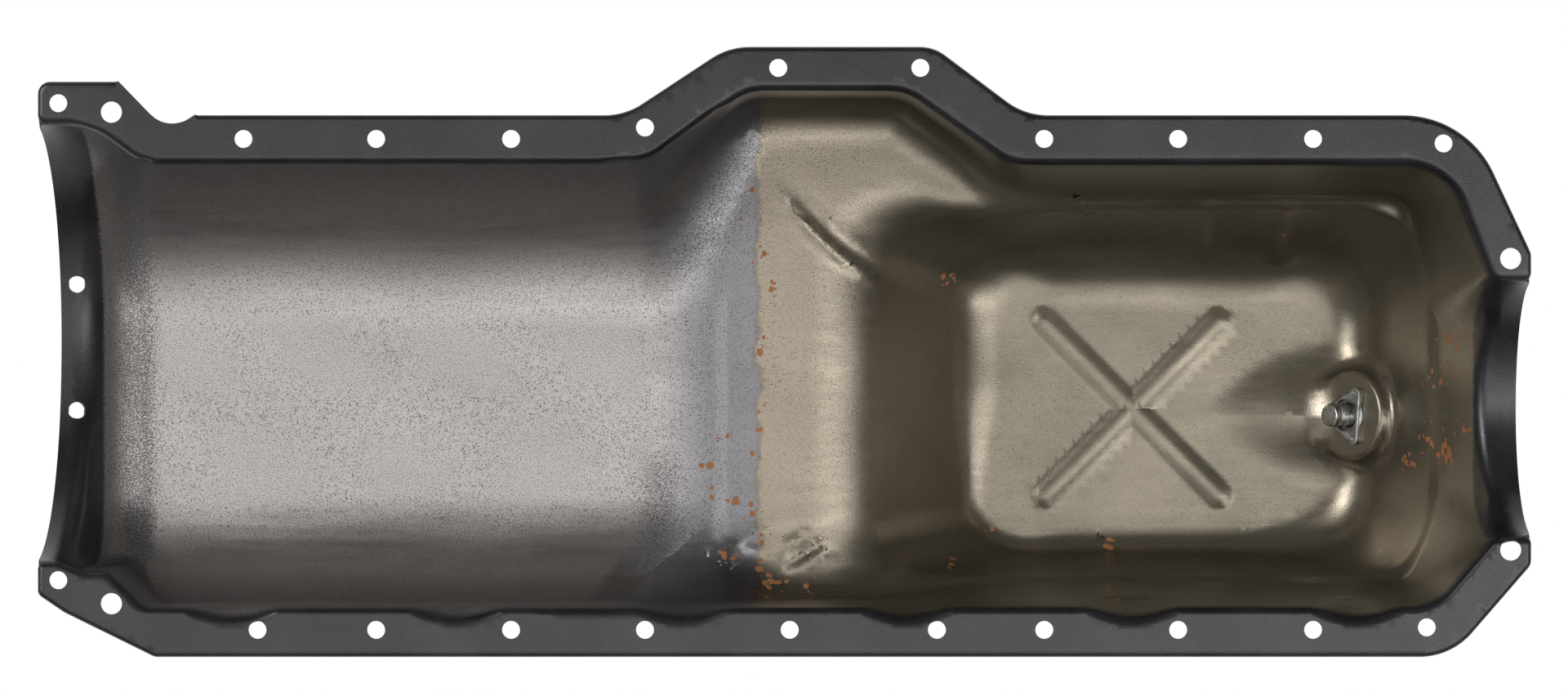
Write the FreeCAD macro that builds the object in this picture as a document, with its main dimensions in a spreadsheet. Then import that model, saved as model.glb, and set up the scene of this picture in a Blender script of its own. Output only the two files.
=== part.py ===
# Engine oil pan with a rear sump, drawn from one steel sheet.
# Millimetres. +X runs to the rear of the engine, +Z up to the block, and Z = 0 is the gasket face of the flange.
# The origin is the centre of the outer four rail bolts.
import FreeCAD, Part
import math
import os

import Sketcher

os.makedirs("parts", exist_ok=True)
doc = FreeCAD.newDocument("oil_pan")
sizes = doc.addObject("Spreadsheet::Sheet", "sizes")

# Driving dimensions
SIZES = {
    # sheet and flange
    "wall": 1.5,
    "lip_drop": 5.0,
    "front_edge": 395.5,
    "rear_edge": 336.6,
    "rail_edge_top": 131.9,
    "rail_edge_bottom": 133.6,
    "bulge_edge": 165.4,
    "ear_edge": 148.3,
    "ear_length": 39.8,
    "notch_x": 331.6,
    "notch_y": 123.4,
    "notch_end_x": 318.5,
    "notch_radius": 15.0,
    "ear_radius": 6.0,
    "edge_radius": 2.0,
    "large_radius": 34.0,
    "bulge_foot_front": 107.7,
    "bulge_head_front": 56.8,
    "bulge_head_rear": 43.8,
    "bulge_foot_rear": 88.5,
    "rear_corner_top_x": 304.9,
    "rear_ear_top_y": 64.2,
    "rear_ear_bottom_y": 88.4,
    "rear_corner_bottom_x": 297.4,
    "front_corner_bottom_x": 338.2,
    "front_diagonal_x": 382.5,
    "front_diagonal_y": 111.8,
    "front_foot_y": 103.0,
    # opening of the basin in the flange
    "basin_half_width": 109.5,
    "bulge_wall": 145.4,
    "opening_bulge_foot_front": 96.7,
    "opening_bulge_head_front": 48.2,
    "opening_bulge_head_rear": 29.9,
    "opening_bulge_foot_rear": 81.4,
    "opening_rear_corner_top": 296.6,
    "opening_rear_corner_bottom": 289.3,
    "opening_rear_x": 319.0,
    "opening_front_top_x": 372.0,
    "opening_front_corner_top": 346.5,
    "opening_front_bottom_x": 361.0,
    "opening_front_corner_bottom": 341.8,
    "opening_radius": 12.0,
    "opening_bend_radius": 26.0,
    "opening_foot_radius": 5.0,
    # half-round seal saddles
    "front_saddle_radius": 108.0,
    "front_saddle_y": 20.2,
    "front_saddle_z": 13.0,
    "front_wall_x": 368.0,
    "rear_saddle_radius": 62.0,
    "rear_saddle_y": 11.8,
    "saddle_hole_diameter": 8.9,
    "saddle_hole_width": 8.2,
    "saddle_hole_x": 387.2,
    "saddle_hole_angle_top": 15.9,
    "saddle_hole_angle_bottom": 18.2,
    # front trough and shelf
    "trough_depth": 115.0,
    "trough_radius_top": 80.0,
    "trough_radius_bottom": 42.0,
    "front_wall_radius": 13.0,
    "shelf_depth": 116.0,
    "shelf_radius": 14.0,
    "shelf_bulge_radius": 30.0,
    "shelf_front_head_x": 25.6,
    "shelf_front_top_x": 52.6,
    "shelf_front_top_y": 116.0,
    "shelf_front_mid_x": 96.0,
    "shelf_front_mid_y": 37.0,
    "shelf_front_bottom_x": 83.5,
    "bulge_flank_radius": 22.0,
    # sump
    "sump_depth": 180.0,
    "sump_ledge_depth": 110.0,
    "sump_front_top": 2.0,
    "sump_front_floor": 68.0,
    "sump_rear_top": 321.0,
    "sump_rear_ledge": 301.0,
    "sump_rear_floor": 271.0,
    "sump_ledge_top_y": 96.5,
    "sump_ledge_inner_y": 89.0,
    "sump_ledge_bottom_y": 100.7,
    "sump_floor_top_y": 63.7,
    "sump_floor_bottom_y": 77.6,
    "sump_rear_radius": 45.0,
    "sump_corner_radius": 30.0,
    "sump_floor_radius": 20.0,
    # rod clearance scallops in the bottom rail
    "scallop_pitch": 110.4,
    "scallop_first_x": 300.9,
    "scallop_half_chord": 20.0,
    "scallop_bulge": 4.8,
    "scallop_drop": 60.0,
    "scallop_taper": 10.0,
    # stiffening beads
    "cross_x": 151.5,
    "cross_y": 13.7,
    "cross_half_length": 64.0,
    "bead_radius": 4.0,
    "bead_rise": 2.5,
    "rib_front_x": 188.6,
    "rib_rear_x": 227.4,
    # drain
    "drain_inset": 8.6,
    "drain_y": 16.9,
    "drain_height": 20.0,
    "drain_tilt": 49.0,
    "drain_pad_radius": 19.0,
    "drain_ramp_start": 190.0,
    "drain_ramp_half_width": 7.0,
    "drain_ramp_flank": 14.0,
    "plate_corner_radius": 19.5,
    "plate_round": 3.0,
    "plate_turn": 4.4,
    "plate_thickness": 3.0,
    "plate_well_radius": 8.15,
    "plate_well_depth": 2.5,
    "nibble_radius": 1.1,
    "nibble_depth": 0.8,
    "nibble_distance": 13.6,
    "hub_radius": 11.0,
    "hub_length": 3.0,
    "hub_gap": 0.1,
    "thread_radius": 6.35,
    "thread_gap": 0.05,
    "plug_reach": 11.5,
    "plug_tip_radius": 5.9,
    "plug_tip_length": 4.0,
    "plug_tip_chamfer": 0.8,
    "plug_head_flats": 19.0,
    "plug_head_height": 9.0,
    "plug_flange_radius": 11.5,
    "plug_flange_height": 2.0,
    "washer_radius": 11.0,
    "washer_gap": 0.15,
    "washer_thickness": 2.0,
    # bolt holes
    "small_hole": 8.8,
    "large_hole": 10.4,
    "bolt_row": 120.2,
    "column_near": 97.8,
    "column_mid": 163.4,
    "column_far": 229.5,
    "bulge_row": 155.0,
    "bulge_hole_front_x": 32.5,
    "bulge_hole_rear_x": 37.1,
    "bottom_mid_front_x": 26.9,
    "bottom_mid_rear_x": 45.2,
    "column_near_front_y": 125.8,
    "rail_hole_front_top_x": 294.5,
    "rail_hole_front_bottom_x": 287.6,
    "rail_hole_rear_top_x": 293.4,
    "rail_hole_rear_bottom_x": 285.2,
    "rail_hole_rear_top_y": 118.0,
    "rail_hole_rear_bottom_y": 119.0,
    "ear_hole_x": 385.2,
    "ear_hole_top_y": 137.7,
    "ear_hole_bottom_y": 95.9,
    "large_front_x": 359.2,
    "large_front_top_y": 133.3,
    "large_front_bottom_y": 107.4,
    "large_rear_x": 326.3,
    "large_rear_top_y": 61.6,
    "large_rear_bottom_y": 81.1,
}
for row, (name, value) in enumerate(SIZES.items(), start=1):
    sizes.set("A%d" % row, name.replace("_", " "))
    sizes.set("B%d" % row, str(value))
    sizes.setAlias("B%d" % row, name)
doc.recompute()

# Room that a cutting volume runs past the face that it opens
OVERRUN = 10.0

# Distance that the basin's plan stands outside the walls of the sections it trims
PLAN_SLACK = 0.4

# Turns that stand a flat drawing up across or along the pan
ACROSS = FreeCAD.Rotation(FreeCAD.Vector(1, 1, 1), 120)
FLAT = FreeCAD.Rotation()


def value_of(expression):
    """Number that an expression of the sheet's names stands for."""
    return float(sizes.evalExpression(expression))


def bind(item, places):
    """Tie each named property of an item to an expression."""
    for place, expression in places.items():
        item.setExpression(place, expression)


def outline(name, corners, turn=FLAT):
    """Closed sketch of straight lines through corners (across, up, radius); the radius is for round_corners."""
    sketch = doc.addObject("Sketcher::SketchObject", name)
    sketch.Placement = FreeCAD.Placement(FreeCAD.Vector(), turn)
    points = [FreeCAD.Vector(value_of(x), value_of(y), 0) for x, y, radius in corners]
    for index, point in enumerate(points):
        sketch.addGeometry(Part.LineSegment(point, points[(index + 1) % len(points)]))
    for index, (x, y, radius) in enumerate(corners):
        sketch.addConstraint(Sketcher.Constraint("Coincident", index - 1 if index else len(points) - 1, 2, index, 1))
        for kind, expression in (("DistanceX", x), ("DistanceY", y)):
            number = sketch.addConstraint(Sketcher.Constraint(kind, -1, 1, index, 1, value_of(expression)))
            sketch.setExpression("Constraints[%d]" % number, expression)
    return sketch


def grown(sketch, growth):
    """The outline itself, or the outline moved outwards by an expression."""
    if growth is None:
        return sketch
    offset = doc.addObject("Part::Offset2D", sketch.Name + "_grown")
    offset.Source = sketch
    offset.Join = "Intersection"
    bind(offset, {"Value": growth})
    return offset


def middle_of(edge):
    """Point half way along an edge."""
    return edge.valueAt((edge.FirstParameter + edge.LastParameter) / 2)


def filleted(name, base, radii):
    """Fillet of a solid, from a table of edge number to radius."""
    fillet = doc.addObject("Part::Fillet", name)
    fillet.Base = base
    fillet.Edges = [(number, radius, radius) for number, radius in sorted(radii.items())]
    return fillet


def rounded_edges(name, base, radius, chosen):
    """Fillet on every edge of a solid that a test picks by its middle point."""
    doc.recompute()
    edges = enumerate(base.Shape.Edges, start=1)
    return filleted(name, base, {number: value_of(radius) for number, edge in edges if chosen(middle_of(edge))})


def round_corners(name, base, corners, growth=None, across=False):
    """Fillet on the edges that rise from an outline's corners, each with its own radius plus the growth."""
    doc.recompute()
    along = FreeCAD.Vector(1, 0, 0) if across else FreeCAD.Vector(0, 0, 1)
    rising = {}
    for number, edge in enumerate(base.Shape.Edges, start=1):
        run = edge.valueAt(edge.LastParameter) - edge.valueAt(edge.FirstParameter)
        if abs(run.normalize().dot(along)) > 0.5:
            middle = middle_of(edge)
            rising[number] = (middle.y, middle.z) if across else (middle.x, middle.y)
    points = [(value_of(x), value_of(y)) for x, y, radius in corners]
    area = sum(points[index - 1][0] * here[1] - here[0] * points[index - 1][1] for index, here in enumerate(points))
    radii = {}
    for index, here in enumerate(points):
        back = points[index - 1]
        ahead = points[(index + 1) % len(points)]
        turn = (here[0] - back[0]) * (ahead[1] - here[1]) - (here[1] - back[1]) * (ahead[0] - here[0])
        outwards = 1 if turn * area > 0 else -1
        radius = value_of(corners[index][2]) + outwards * value_of(growth or "0")
        nearest = min(rising, key=lambda number: math.dist(rising[number], here))
        radii[nearest] = radius
    return filleted(name, base, radii)


def extruded(name, profile, direction, forwards, backwards="0"):
    """Solid of a flat outline, pushed along a direction."""
    solid = doc.addObject("Part::Extrusion", name)
    solid.Base = profile
    solid.DirMode = "Custom"
    solid.Dir = direction
    solid.Solid = True
    bind(solid, {"LengthFwd": forwards, "LengthRev": backwards})
    return solid


def fused(name, shapes):
    """Union of several solids."""
    union = doc.addObject("Part::MultiFuse", name)
    union.Shapes = shapes
    return union


def shared(name, shapes):
    """Volume that several solids have in common."""
    common = doc.addObject("Part::MultiCommon", name)
    common.Shapes = shapes
    return common


def cut(name, base, tool):
    """One solid less another."""
    rest = doc.addObject("Part::Cut", name)
    rest.Base = base
    rest.Tool = tool
    return rest


def cylinder(name, radius, height, place, turn=FLAT):
    """Cylinder from a centre of its base, along its own turned Z axis."""
    solid = doc.addObject("Part::Cylinder", name)
    solid.Placement = FreeCAD.Placement(FreeCAD.Vector(), turn)
    bind(solid, {"Radius": radius, "Height": height})
    bind(solid, {"Placement.Base." + axis: expression for axis, expression in zip("xyz", place)})
    return solid


def box(name, lengths, place):
    """Upright box from its lowest corner."""
    solid = doc.addObject("Part::Box", name)
    bind(solid, dict(zip(("Length", "Width", "Height"), lengths)))
    bind(solid, {"Placement.Base." + axis: expression for axis, expression in zip("xyz", place)})
    return solid


# Flange plate outline, from the front top ear round by the bottom rail
FLANGE_CORNERS = [
    ("-sizes.front_edge", "sizes.ear_edge", "sizes.ear_radius"),
    ("-sizes.front_edge", "-sizes.front_foot_y", "sizes.edge_radius * 2"),
    ("-sizes.front_diagonal_x", "-sizes.front_diagonal_y", "sizes.ear_radius * 2"),
    ("-sizes.front_corner_bottom_x", "-sizes.rail_edge_bottom", "sizes.ear_radius"),
    ("sizes.rear_corner_bottom_x", "-sizes.rail_edge_bottom", "sizes.large_radius"),
    ("sizes.rear_edge", "-sizes.rear_ear_bottom_y", "sizes.ear_radius"),
    ("sizes.rear_edge", "sizes.rear_ear_top_y", "sizes.ear_radius"),
    ("sizes.rear_corner_top_x", "sizes.rail_edge_top", "sizes.large_radius"),
    ("sizes.bulge_foot_rear", "sizes.rail_edge_top", "sizes.large_radius"),
    ("sizes.bulge_head_rear", "sizes.bulge_edge", "sizes.large_radius * 0.6"),
    ("-sizes.bulge_head_front", "sizes.bulge_edge", "sizes.large_radius"),
    ("-sizes.bulge_foot_front", "sizes.rail_edge_top", "sizes.large_radius"),
    ("-sizes.notch_end_x", "sizes.rail_edge_top", "sizes.edge_radius"),
    ("-sizes.notch_x", "sizes.notch_y", "sizes.notch_radius"),
    ("-sizes.front_edge + sizes.ear_length", "sizes.ear_edge", "sizes.edge_radius"),
]

# Basin opening, running out over both saddles; its long sides stand just clear of the sections' own walls
plan_half_width = "(sizes.basin_half_width + %s)" % PLAN_SLACK
saddle_top_y = "sizes.front_saddle_y + sizes.front_saddle_radius"
saddle_bottom_y = "sizes.front_saddle_y - sizes.front_saddle_radius"
rear_top_y = "sizes.rear_saddle_radius - sizes.rear_saddle_y + 1"
rear_bottom_y = "-sizes.rear_saddle_radius - sizes.rear_saddle_y - 1"
front_end = "-sizes.front_edge - %s" % OVERRUN
rear_end = "sizes.rear_edge + %s" % OVERRUN
BASIN_CORNERS = [
    (front_end, saddle_top_y, "sizes.opening_foot_radius"),
    (front_end, saddle_bottom_y, "sizes.opening_foot_radius"),
    ("-sizes.opening_front_bottom_x", saddle_bottom_y, "sizes.opening_foot_radius"),
    ("-sizes.opening_front_corner_bottom", "-" + plan_half_width, "sizes.opening_radius"),
    ("sizes.opening_rear_corner_bottom", "-" + plan_half_width, "sizes.opening_bend_radius"),
    ("sizes.opening_rear_x", rear_bottom_y, "sizes.opening_foot_radius"),
    (rear_end, rear_bottom_y, "sizes.opening_foot_radius"),
    (rear_end, rear_top_y, "sizes.opening_foot_radius"),
    ("sizes.opening_rear_x", rear_top_y, "sizes.opening_foot_radius"),
    ("sizes.opening_rear_corner_top", plan_half_width, "sizes.opening_bend_radius"),
    ("sizes.opening_bulge_foot_rear", plan_half_width, "sizes.opening_bend_radius"),
    ("sizes.opening_bulge_head_rear", "sizes.bulge_wall", "sizes.opening_bend_radius"),
    ("-sizes.opening_bulge_head_front", "sizes.bulge_wall", "sizes.opening_bend_radius"),
    ("-sizes.opening_bulge_foot_front", plan_half_width, "sizes.opening_bend_radius"),
    ("-sizes.opening_front_corner_top", plan_half_width, "sizes.opening_radius"),
    ("-sizes.opening_front_top_x", saddle_top_y, "sizes.opening_foot_radius"),
]

# Section across the front trough: a flat floor with one wide and one narrow round side
TROUGH_CORNERS = [
    ("sizes.basin_half_width", str(OVERRUN), "sizes.edge_radius"),
    ("-sizes.basin_half_width", str(OVERRUN), "sizes.edge_radius"),
    ("-sizes.basin_half_width", "-sizes.trough_depth", "sizes.trough_radius_bottom"),
    ("sizes.basin_half_width", "-sizes.trough_depth", "sizes.trough_radius_top"),
]

# Section across the shelf, which is boxier and takes in the side bulge
SHELF_CORNERS = [
    ("sizes.bulge_wall", str(OVERRUN), "sizes.edge_radius"),
    ("-sizes.basin_half_width", str(OVERRUN), "sizes.edge_radius"),
    ("-sizes.basin_half_width", "-sizes.shelf_depth", "sizes.shelf_radius"),
    ("sizes.bulge_wall", "-sizes.shelf_depth", "sizes.shelf_bulge_radius"),
]

# Plan of the shelf: its slanting front edge crosses the trough's round side
SHELF_PLAN_CORNERS = [
    ("sizes.opening_bulge_head_rear", "sizes.bulge_edge", "sizes.edge_radius"),
    ("-sizes.shelf_front_head_x", "sizes.bulge_edge", "sizes.edge_radius"),
    ("-sizes.shelf_front_top_x", "sizes.shelf_front_top_y", "sizes.shelf_radius"),
    ("-sizes.shelf_front_mid_x", "sizes.shelf_front_mid_y", "sizes.shelf_radius"),
    ("-sizes.shelf_front_bottom_x", "0", "sizes.shelf_radius"),
    ("-sizes.shelf_front_bottom_x", "-sizes.rail_edge_bottom", "sizes.edge_radius"),
    ("sizes.opening_bulge_head_rear", "-sizes.rail_edge_bottom", "sizes.edge_radius"),
]


def flank_corners(foot, head, past_foot, past_head, reach):
    """Plan of the hollow inside one slanting side of the bulge, whose wall runs past the side's foot and head."""
    rise = "(sizes.bulge_wall - %s)" % plan_half_width
    run = "((%s) - (%s))" % (head, foot)
    start = ("%s - %s * %s" % (foot, run, past_foot), "%s - %s * %s" % (plan_half_width, rise, past_foot))
    end = ("%s + %s * %s" % (head, run, past_head), "sizes.bulge_wall + %s * %s" % (rise, past_head))
    wall = [(x, y, "0") for x, y in (start, end)]
    return wall + [(x, "%s - (%s)" % (y, reach), "0") for x, y in (end, start)]


# Hollows inside the bulge's two slanting sides: the front one bends into the trough, the rear one into the shelf
FRONT_FLANK_CORNERS = flank_corners(
    "-sizes.opening_bulge_foot_front", "-sizes.opening_bulge_head_front", 0.6, 0.6, "sizes.trough_radius_top * 1.4")
REAR_FLANK_CORNERS = flank_corners(
    "sizes.opening_bulge_foot_rear", "sizes.opening_bulge_head_rear", 0.8, 0, "sizes.bulge_flank_radius * 3")


def lofted(name, sections):
    """Straight-sided solid between two flat outlines."""
    solid = doc.addObject("Part::Loft", name)
    solid.Sections = sections
    solid.Solid = True
    solid.Ruled = True
    return solid


def tapered_box(name, top, foot, heights, growth, front_radius, rear_radius):
    """Box with sloping sides between two level rectangles (front, rear, bottom, top), and rounded upright corners."""
    sections = []
    for label, (front, rear, bottom, top_side), height in zip(("mouth", "foot"), (top, foot), heights):
        corners = [(front, top_side, "0"), (front, bottom, "0"), (rear, bottom, "0"), (rear, top_side, "0")]
        sketch = outline("%s_%s" % (name, label), corners)
        bind(sketch, {"Placement.Base.z": height})
        sections.append(grown(sketch, growth))
    between = ["((%s) + (%s)) / 2" % pair for pair in zip(top, foot)]
    front, rear, bottom, top_side = between
    corners = [(front, top_side, front_radius), (front, bottom, front_radius)]
    corners += [(rear, bottom, rear_radius), (rear, top_side, rear_radius)]
    return round_corners(name, lofted(name + "_sharp", sections), corners, growth)


# Drain point: the middle of the pad's inner face, set in from the rear wall's foot and up from the sump floor
drain_x = "(sizes.sump_rear_floor - sizes.drain_inset)"
drain_z = "(sizes.drain_height - sizes.sump_depth)"

# Drain axis: it points out of the sump, to the rear and down
drain_turn = FreeCAD.Rotation(FreeCAD.Vector(0, 1, 0), 180 - value_of("sizes.drain_tilt"))
drain_out = drain_turn.multVec(FreeCAD.Vector(0, 0, 1))


def drain_place(distance):
    """Expressions of the point at a distance outwards along the drain axis from the pad's inner face."""
    return (
        "%s + sin(sizes.drain_tilt) * (%s)" % (drain_x, distance),
        "-sizes.drain_y",
        "%s - cos(sizes.drain_tilt) * (%s)" % (drain_z, distance),
    )


# Outlines that the punch shares between the inside and the outside of the sheet
basin_plan = outline("basin_plan", BASIN_CORNERS)
trough_section = outline("trough_section", TROUGH_CORNERS, ACROSS)
shelf_section = outline("shelf_section", SHELF_CORNERS, ACROSS)
shelf_plan = outline("shelf_plan", SHELF_PLAN_CORNERS)
front_flank_plan = outline("front_flank_plan", FRONT_FLANK_CORNERS)
rear_flank_plan = outline("rear_flank_plan", REAR_FLANK_CORNERS)
DOWN = FreeCAD.Vector(0, 0, -1)
REARWARDS = FreeCAD.Vector(1, 0, 0)


def sump_block(tag, growth):
    """Deep rear sump: a drafted upper part down to the ledge and a steeper lower part down to the floor."""
    extra = growth or "0"
    ledge = "-sizes.sump_ledge_depth"
    upper_front = "sizes.sump_front_top + sizes.sump_corner_radius / 2"
    upper = tapered_box(
        tag + "_sump_upper",
        (upper_front, "sizes.sump_rear_top + 20", "-sizes.basin_half_width - 1", "sizes.basin_half_width + 1"),
        (upper_front, "sizes.sump_rear_ledge", "-sizes.sump_ledge_bottom_y", "sizes.sump_ledge_top_y"),
        (str(OVERRUN), "%s - (%s)" % (ledge, extra)), growth, "sizes.edge_radius", "sizes.sump_rear_radius")
    lower = tapered_box(
        tag + "_sump_lower",
        ("sizes.sump_front_top", "sizes.sump_rear_ledge", "-sizes.sump_ledge_bottom_y", "sizes.sump_ledge_inner_y"),
        ("sizes.sump_front_floor", "sizes.sump_rear_floor", "-sizes.sump_floor_bottom_y", "sizes.sump_floor_top_y"),
        (ledge, "-sizes.sump_depth - (%s)" % extra), growth, "sizes.sump_corner_radius", "sizes.sump_rear_radius")
    floor = value_of("-sizes.sump_depth - (%s)" % extra)
    soft = rounded_edges(
        tag + "_sump_soft", lower, "sizes.sump_floor_radius + (%s)" % extra,
        lambda point: abs(point.z - floor) < 0.1)
    return [upper, soft]


def raised_forms(tag, growth):
    """Beads, ribs, drain ramp and drain pad that stand up into the basin."""
    extra = growth or "0"
    forms = []
    bead = "sizes.bead_radius - (%s)" % extra
    sunk = "-sizes.sump_depth - sizes.bead_radius + sizes.bead_rise"
    for name, angle in (("rising", 45), ("falling", 135)):
        turn = FreeCAD.Rotation(FreeCAD.Vector(0, 0, 1), angle).multiply(FreeCAD.Rotation(FreeCAD.Vector(0, 1, 0), 90))
        along = turn.multVec(FreeCAD.Vector(0, 0, 1))
        start = ("sizes.cross_x - sizes.cross_half_length * %.6f" % along.x,
                 "-sizes.cross_y - sizes.cross_half_length * %.6f" % along.y, sunk)
        forms.append(cylinder(tag + "_bead_" + name, bead, "sizes.cross_half_length * 2", start, turn))
    lean = math.atan2(value_of("sizes.sump_ledge_inner_y - sizes.sump_floor_top_y"),
                      value_of("sizes.sump_depth - sizes.sump_ledge_depth"))
    wall_turn = FreeCAD.Rotation(FreeCAD.Vector(1, 0, 0), -math.degrees(lean))
    for name in ("front", "rear"):
        start = ("sizes.rib_%s_x" % name,
                 "sizes.sump_floor_top_y + sizes.bead_radius - sizes.bead_rise", "-sizes.sump_depth")
        length = "(sizes.sump_depth - sizes.sump_ledge_depth) * %.6f" % (1 / math.cos(lean))
        forms.append(cylinder(tag + "_rib_" + name, bead, length, start, wall_turn))
    pad_radius = "sizes.drain_pad_radius - (%s)" % extra
    pad = cylinder(tag + "_drain_pad", pad_radius, "sizes.drain_pad_radius * 3", drain_place(extra), drain_turn)
    forms.append(pad)
    forms.append(drain_ramp(tag, extra))
    return forms


def drain_ramp(tag, extra):
    """Ridge on the sump floor that climbs to the lower edge of the drain pad."""
    pad_foot_x = drain_x + " - sizes.drain_pad_radius * cos(sizes.drain_tilt)"
    pad_foot_z = drain_z + " - sizes.drain_pad_radius * sin(sizes.drain_tilt)"
    sections = []
    ends = (("start", "sizes.drain_ramp_start", "-sizes.sump_depth"), ("end", pad_foot_x + " + 2", pad_foot_z))
    for name, x, top in ends:
        half_top = "sizes.drain_ramp_half_width"
        half_foot = "sizes.drain_ramp_half_width + sizes.drain_ramp_flank * 2"
        foot = "%s - sizes.drain_ramp_flank" % top
        corners = [
            ("%s - sizes.drain_y" % half_top, "%s - (%s)" % (top, extra), "0"),
            ("-(%s) - sizes.drain_y" % half_top, "%s - (%s)" % (top, extra), "0"),
            ("-(%s) - sizes.drain_y" % half_foot, "%s - (%s)" % (foot, extra), "0"),
            ("%s - sizes.drain_y" % half_foot, "%s - (%s)" % (foot, extra), "0"),
        ]
        section = outline(tag + "_ramp_" + name, corners, ACROSS)
        bind(section, {"Placement.Base.x": x})
        sections.append(section)
    return lofted(tag + "_ramp", sections)


def bulge_flank(name, plan, corners, growth, depth, radius):
    """Hollow inside one slanting side of the bulge, with a round bend along the foot of its wall."""
    extra = growth or "0"
    block = extruded(name, grown(plan, growth), DOWN, "%s + (%s)" % (depth, extra), str(OVERRUN))
    floor = value_of("-(%s) - (%s)" % (depth, extra))
    ends = [(value_of(x), value_of(y)) for x, y, unused in corners[:2]]
    middle = [sum(pair) / 2 for pair in zip(*ends)]
    return rounded_edges(
        name + "_soft", block, "%s + (%s)" % (radius, extra),
        lambda point: abs(point.z - floor) < 0.1 and math.dist((point.x, point.y), middle) < 4)


def punch(tag, growth=None):
    """Volume inside the pan, or the same volume grown outwards by the sheet's thickness."""
    extra = growth or "0"
    plan = round_corners(
        tag + "_plan", extruded(tag + "_plan_sharp", grown(basin_plan, growth), DOWN, "sizes.sump_depth + 20",
                                str(OVERRUN)), BASIN_CORNERS, growth)
    front_arch = cylinder(
        tag + "_front_arch", "sizes.front_saddle_radius + (%s)" % extra,
        "sizes.front_edge - sizes.opening_front_corner_top + %s" % OVERRUN,
        (front_end, "sizes.front_saddle_y", "sizes.front_saddle_z"), ACROSS)
    rear_arch = cylinder(
        tag + "_rear_arch", "sizes.rear_saddle_radius + (%s)" % extra, "40",
        ("sizes.rear_edge - 30", "-sizes.rear_saddle_y", "0"), ACROSS)
    trough = round_corners(
        tag + "_trough", extruded(tag + "_trough_sharp", grown(trough_section, growth), REARWARDS,
                                  "-sizes.shelf_front_bottom_x + 40", "sizes.front_wall_x + (%s)" % extra),
        TROUGH_CORNERS, growth, across=True)
    front_face = value_of("-sizes.front_wall_x - (%s)" % extra)
    soft_trough = rounded_edges(
        tag + "_trough_soft", trough, "sizes.front_wall_radius + (%s)" % extra,
        lambda point: abs(point.x - front_face) < 0.1 and point.z < 0)
    shelf_length = round_corners(
        tag + "_shelf_length", extruded(tag + "_shelf_length_sharp", grown(shelf_section, growth), REARWARDS,
                                        "sizes.opening_bulge_head_rear + 20", "sizes.shelf_front_mid_x + 20"),
        SHELF_CORNERS, growth, across=True)
    shelf_area = round_corners(
        tag + "_shelf_area", extruded(tag + "_shelf_area_sharp", grown(shelf_plan, growth), DOWN,
                                      "sizes.sump_depth", str(OVERRUN)), SHELF_PLAN_CORNERS, growth)
    shelf = shared(tag + "_shelf", [shelf_length, shelf_area])
    flanks = [
        bulge_flank(tag + "_front_flank", front_flank_plan, FRONT_FLANK_CORNERS, growth, "sizes.trough_depth",
                    "sizes.trough_radius_top"),
        bulge_flank(tag + "_rear_flank", rear_flank_plan, REAR_FLANK_CORNERS, growth, "sizes.shelf_depth",
                    "sizes.bulge_flank_radius"),
    ]
    volumes = fused(tag + "_volumes", [front_arch, rear_arch, soft_trough, shelf] + flanks + sump_block(tag, growth))
    basin = shared(tag + "_basin", [plan, volumes])
    scallops = []
    for number in range(6):
        scallop = doc.addObject("Part::Cone", "%s_scallop_%d" % (tag, number + 1))
        radius = "(pow(sizes.scallop_half_chord; 2) + pow(sizes.scallop_bulge; 2)) / (2 * sizes.scallop_bulge)"
        bind(scallop, {
            "Radius1": radius + " - sizes.scallop_taper + (%s)" % extra,
            "Radius2": radius + " + (%s)" % extra,
            "Height": "sizes.scallop_drop",
            "Placement.Base.x": "-sizes.scallop_first_x + %d * sizes.scallop_pitch" % number,
            "Placement.Base.y": "-sizes.basin_half_width - sizes.scallop_bulge + " + radius,
            "Placement.Base.z": "-sizes.scallop_drop",
        })
        scallops.append(scallop)
    hollow = fused(tag + "_hollow", [basin] + scallops)
    raised = fused(tag + "_raised", raised_forms(tag, growth))
    return cut(tag + "_punch", hollow, raised)


def flange():
    """Flat flange plate with its turned-down lip, before the basin is cut out."""
    flat = outline("flange_outline", FLANGE_CORNERS)
    plate = round_corners("flange_plate", extruded("flange_plate_sharp", flat, DOWN, "sizes.wall"), FLANGE_CORNERS)
    lip_outer = round_corners("lip_outer", extruded("lip_outer_sharp", flat, DOWN, "sizes.lip_drop"), FLANGE_CORNERS)
    inset = "-sizes.wall"
    lip_inner = round_corners(
        "lip_inner", extruded("lip_inner_sharp", grown(flat, inset), DOWN, "sizes.lip_drop + 1", "1"),
        FLANGE_CORNERS, inset)
    ring = cut("lip_ring", lip_outer, lip_inner)
    gaps = fused("lip_gaps", [
        box("lip_gap_notch", ("sizes.ear_length", "sizes.ear_edge - sizes.notch_y + 10", "sizes.lip_drop + 2"),
            ("-sizes.front_edge + sizes.ear_length - 1", "sizes.notch_y - 5", "-sizes.lip_drop - 1")),
        box("lip_gap_front", ("sizes.wall * 2", "sizes.front_saddle_radius * 2", "sizes.lip_drop + 2"),
            ("-sizes.front_edge - sizes.wall", saddle_bottom_y, "-sizes.lip_drop - 1")),
        box("lip_gap_rear", ("sizes.wall * 2", "sizes.rear_saddle_radius * 2 + 2", "sizes.lip_drop + 2"),
            ("sizes.rear_edge - sizes.wall", rear_bottom_y, "-sizes.lip_drop - 1")),
    ])
    return fused("flange", [plate, cut("lip", ring, gaps)])


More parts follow.
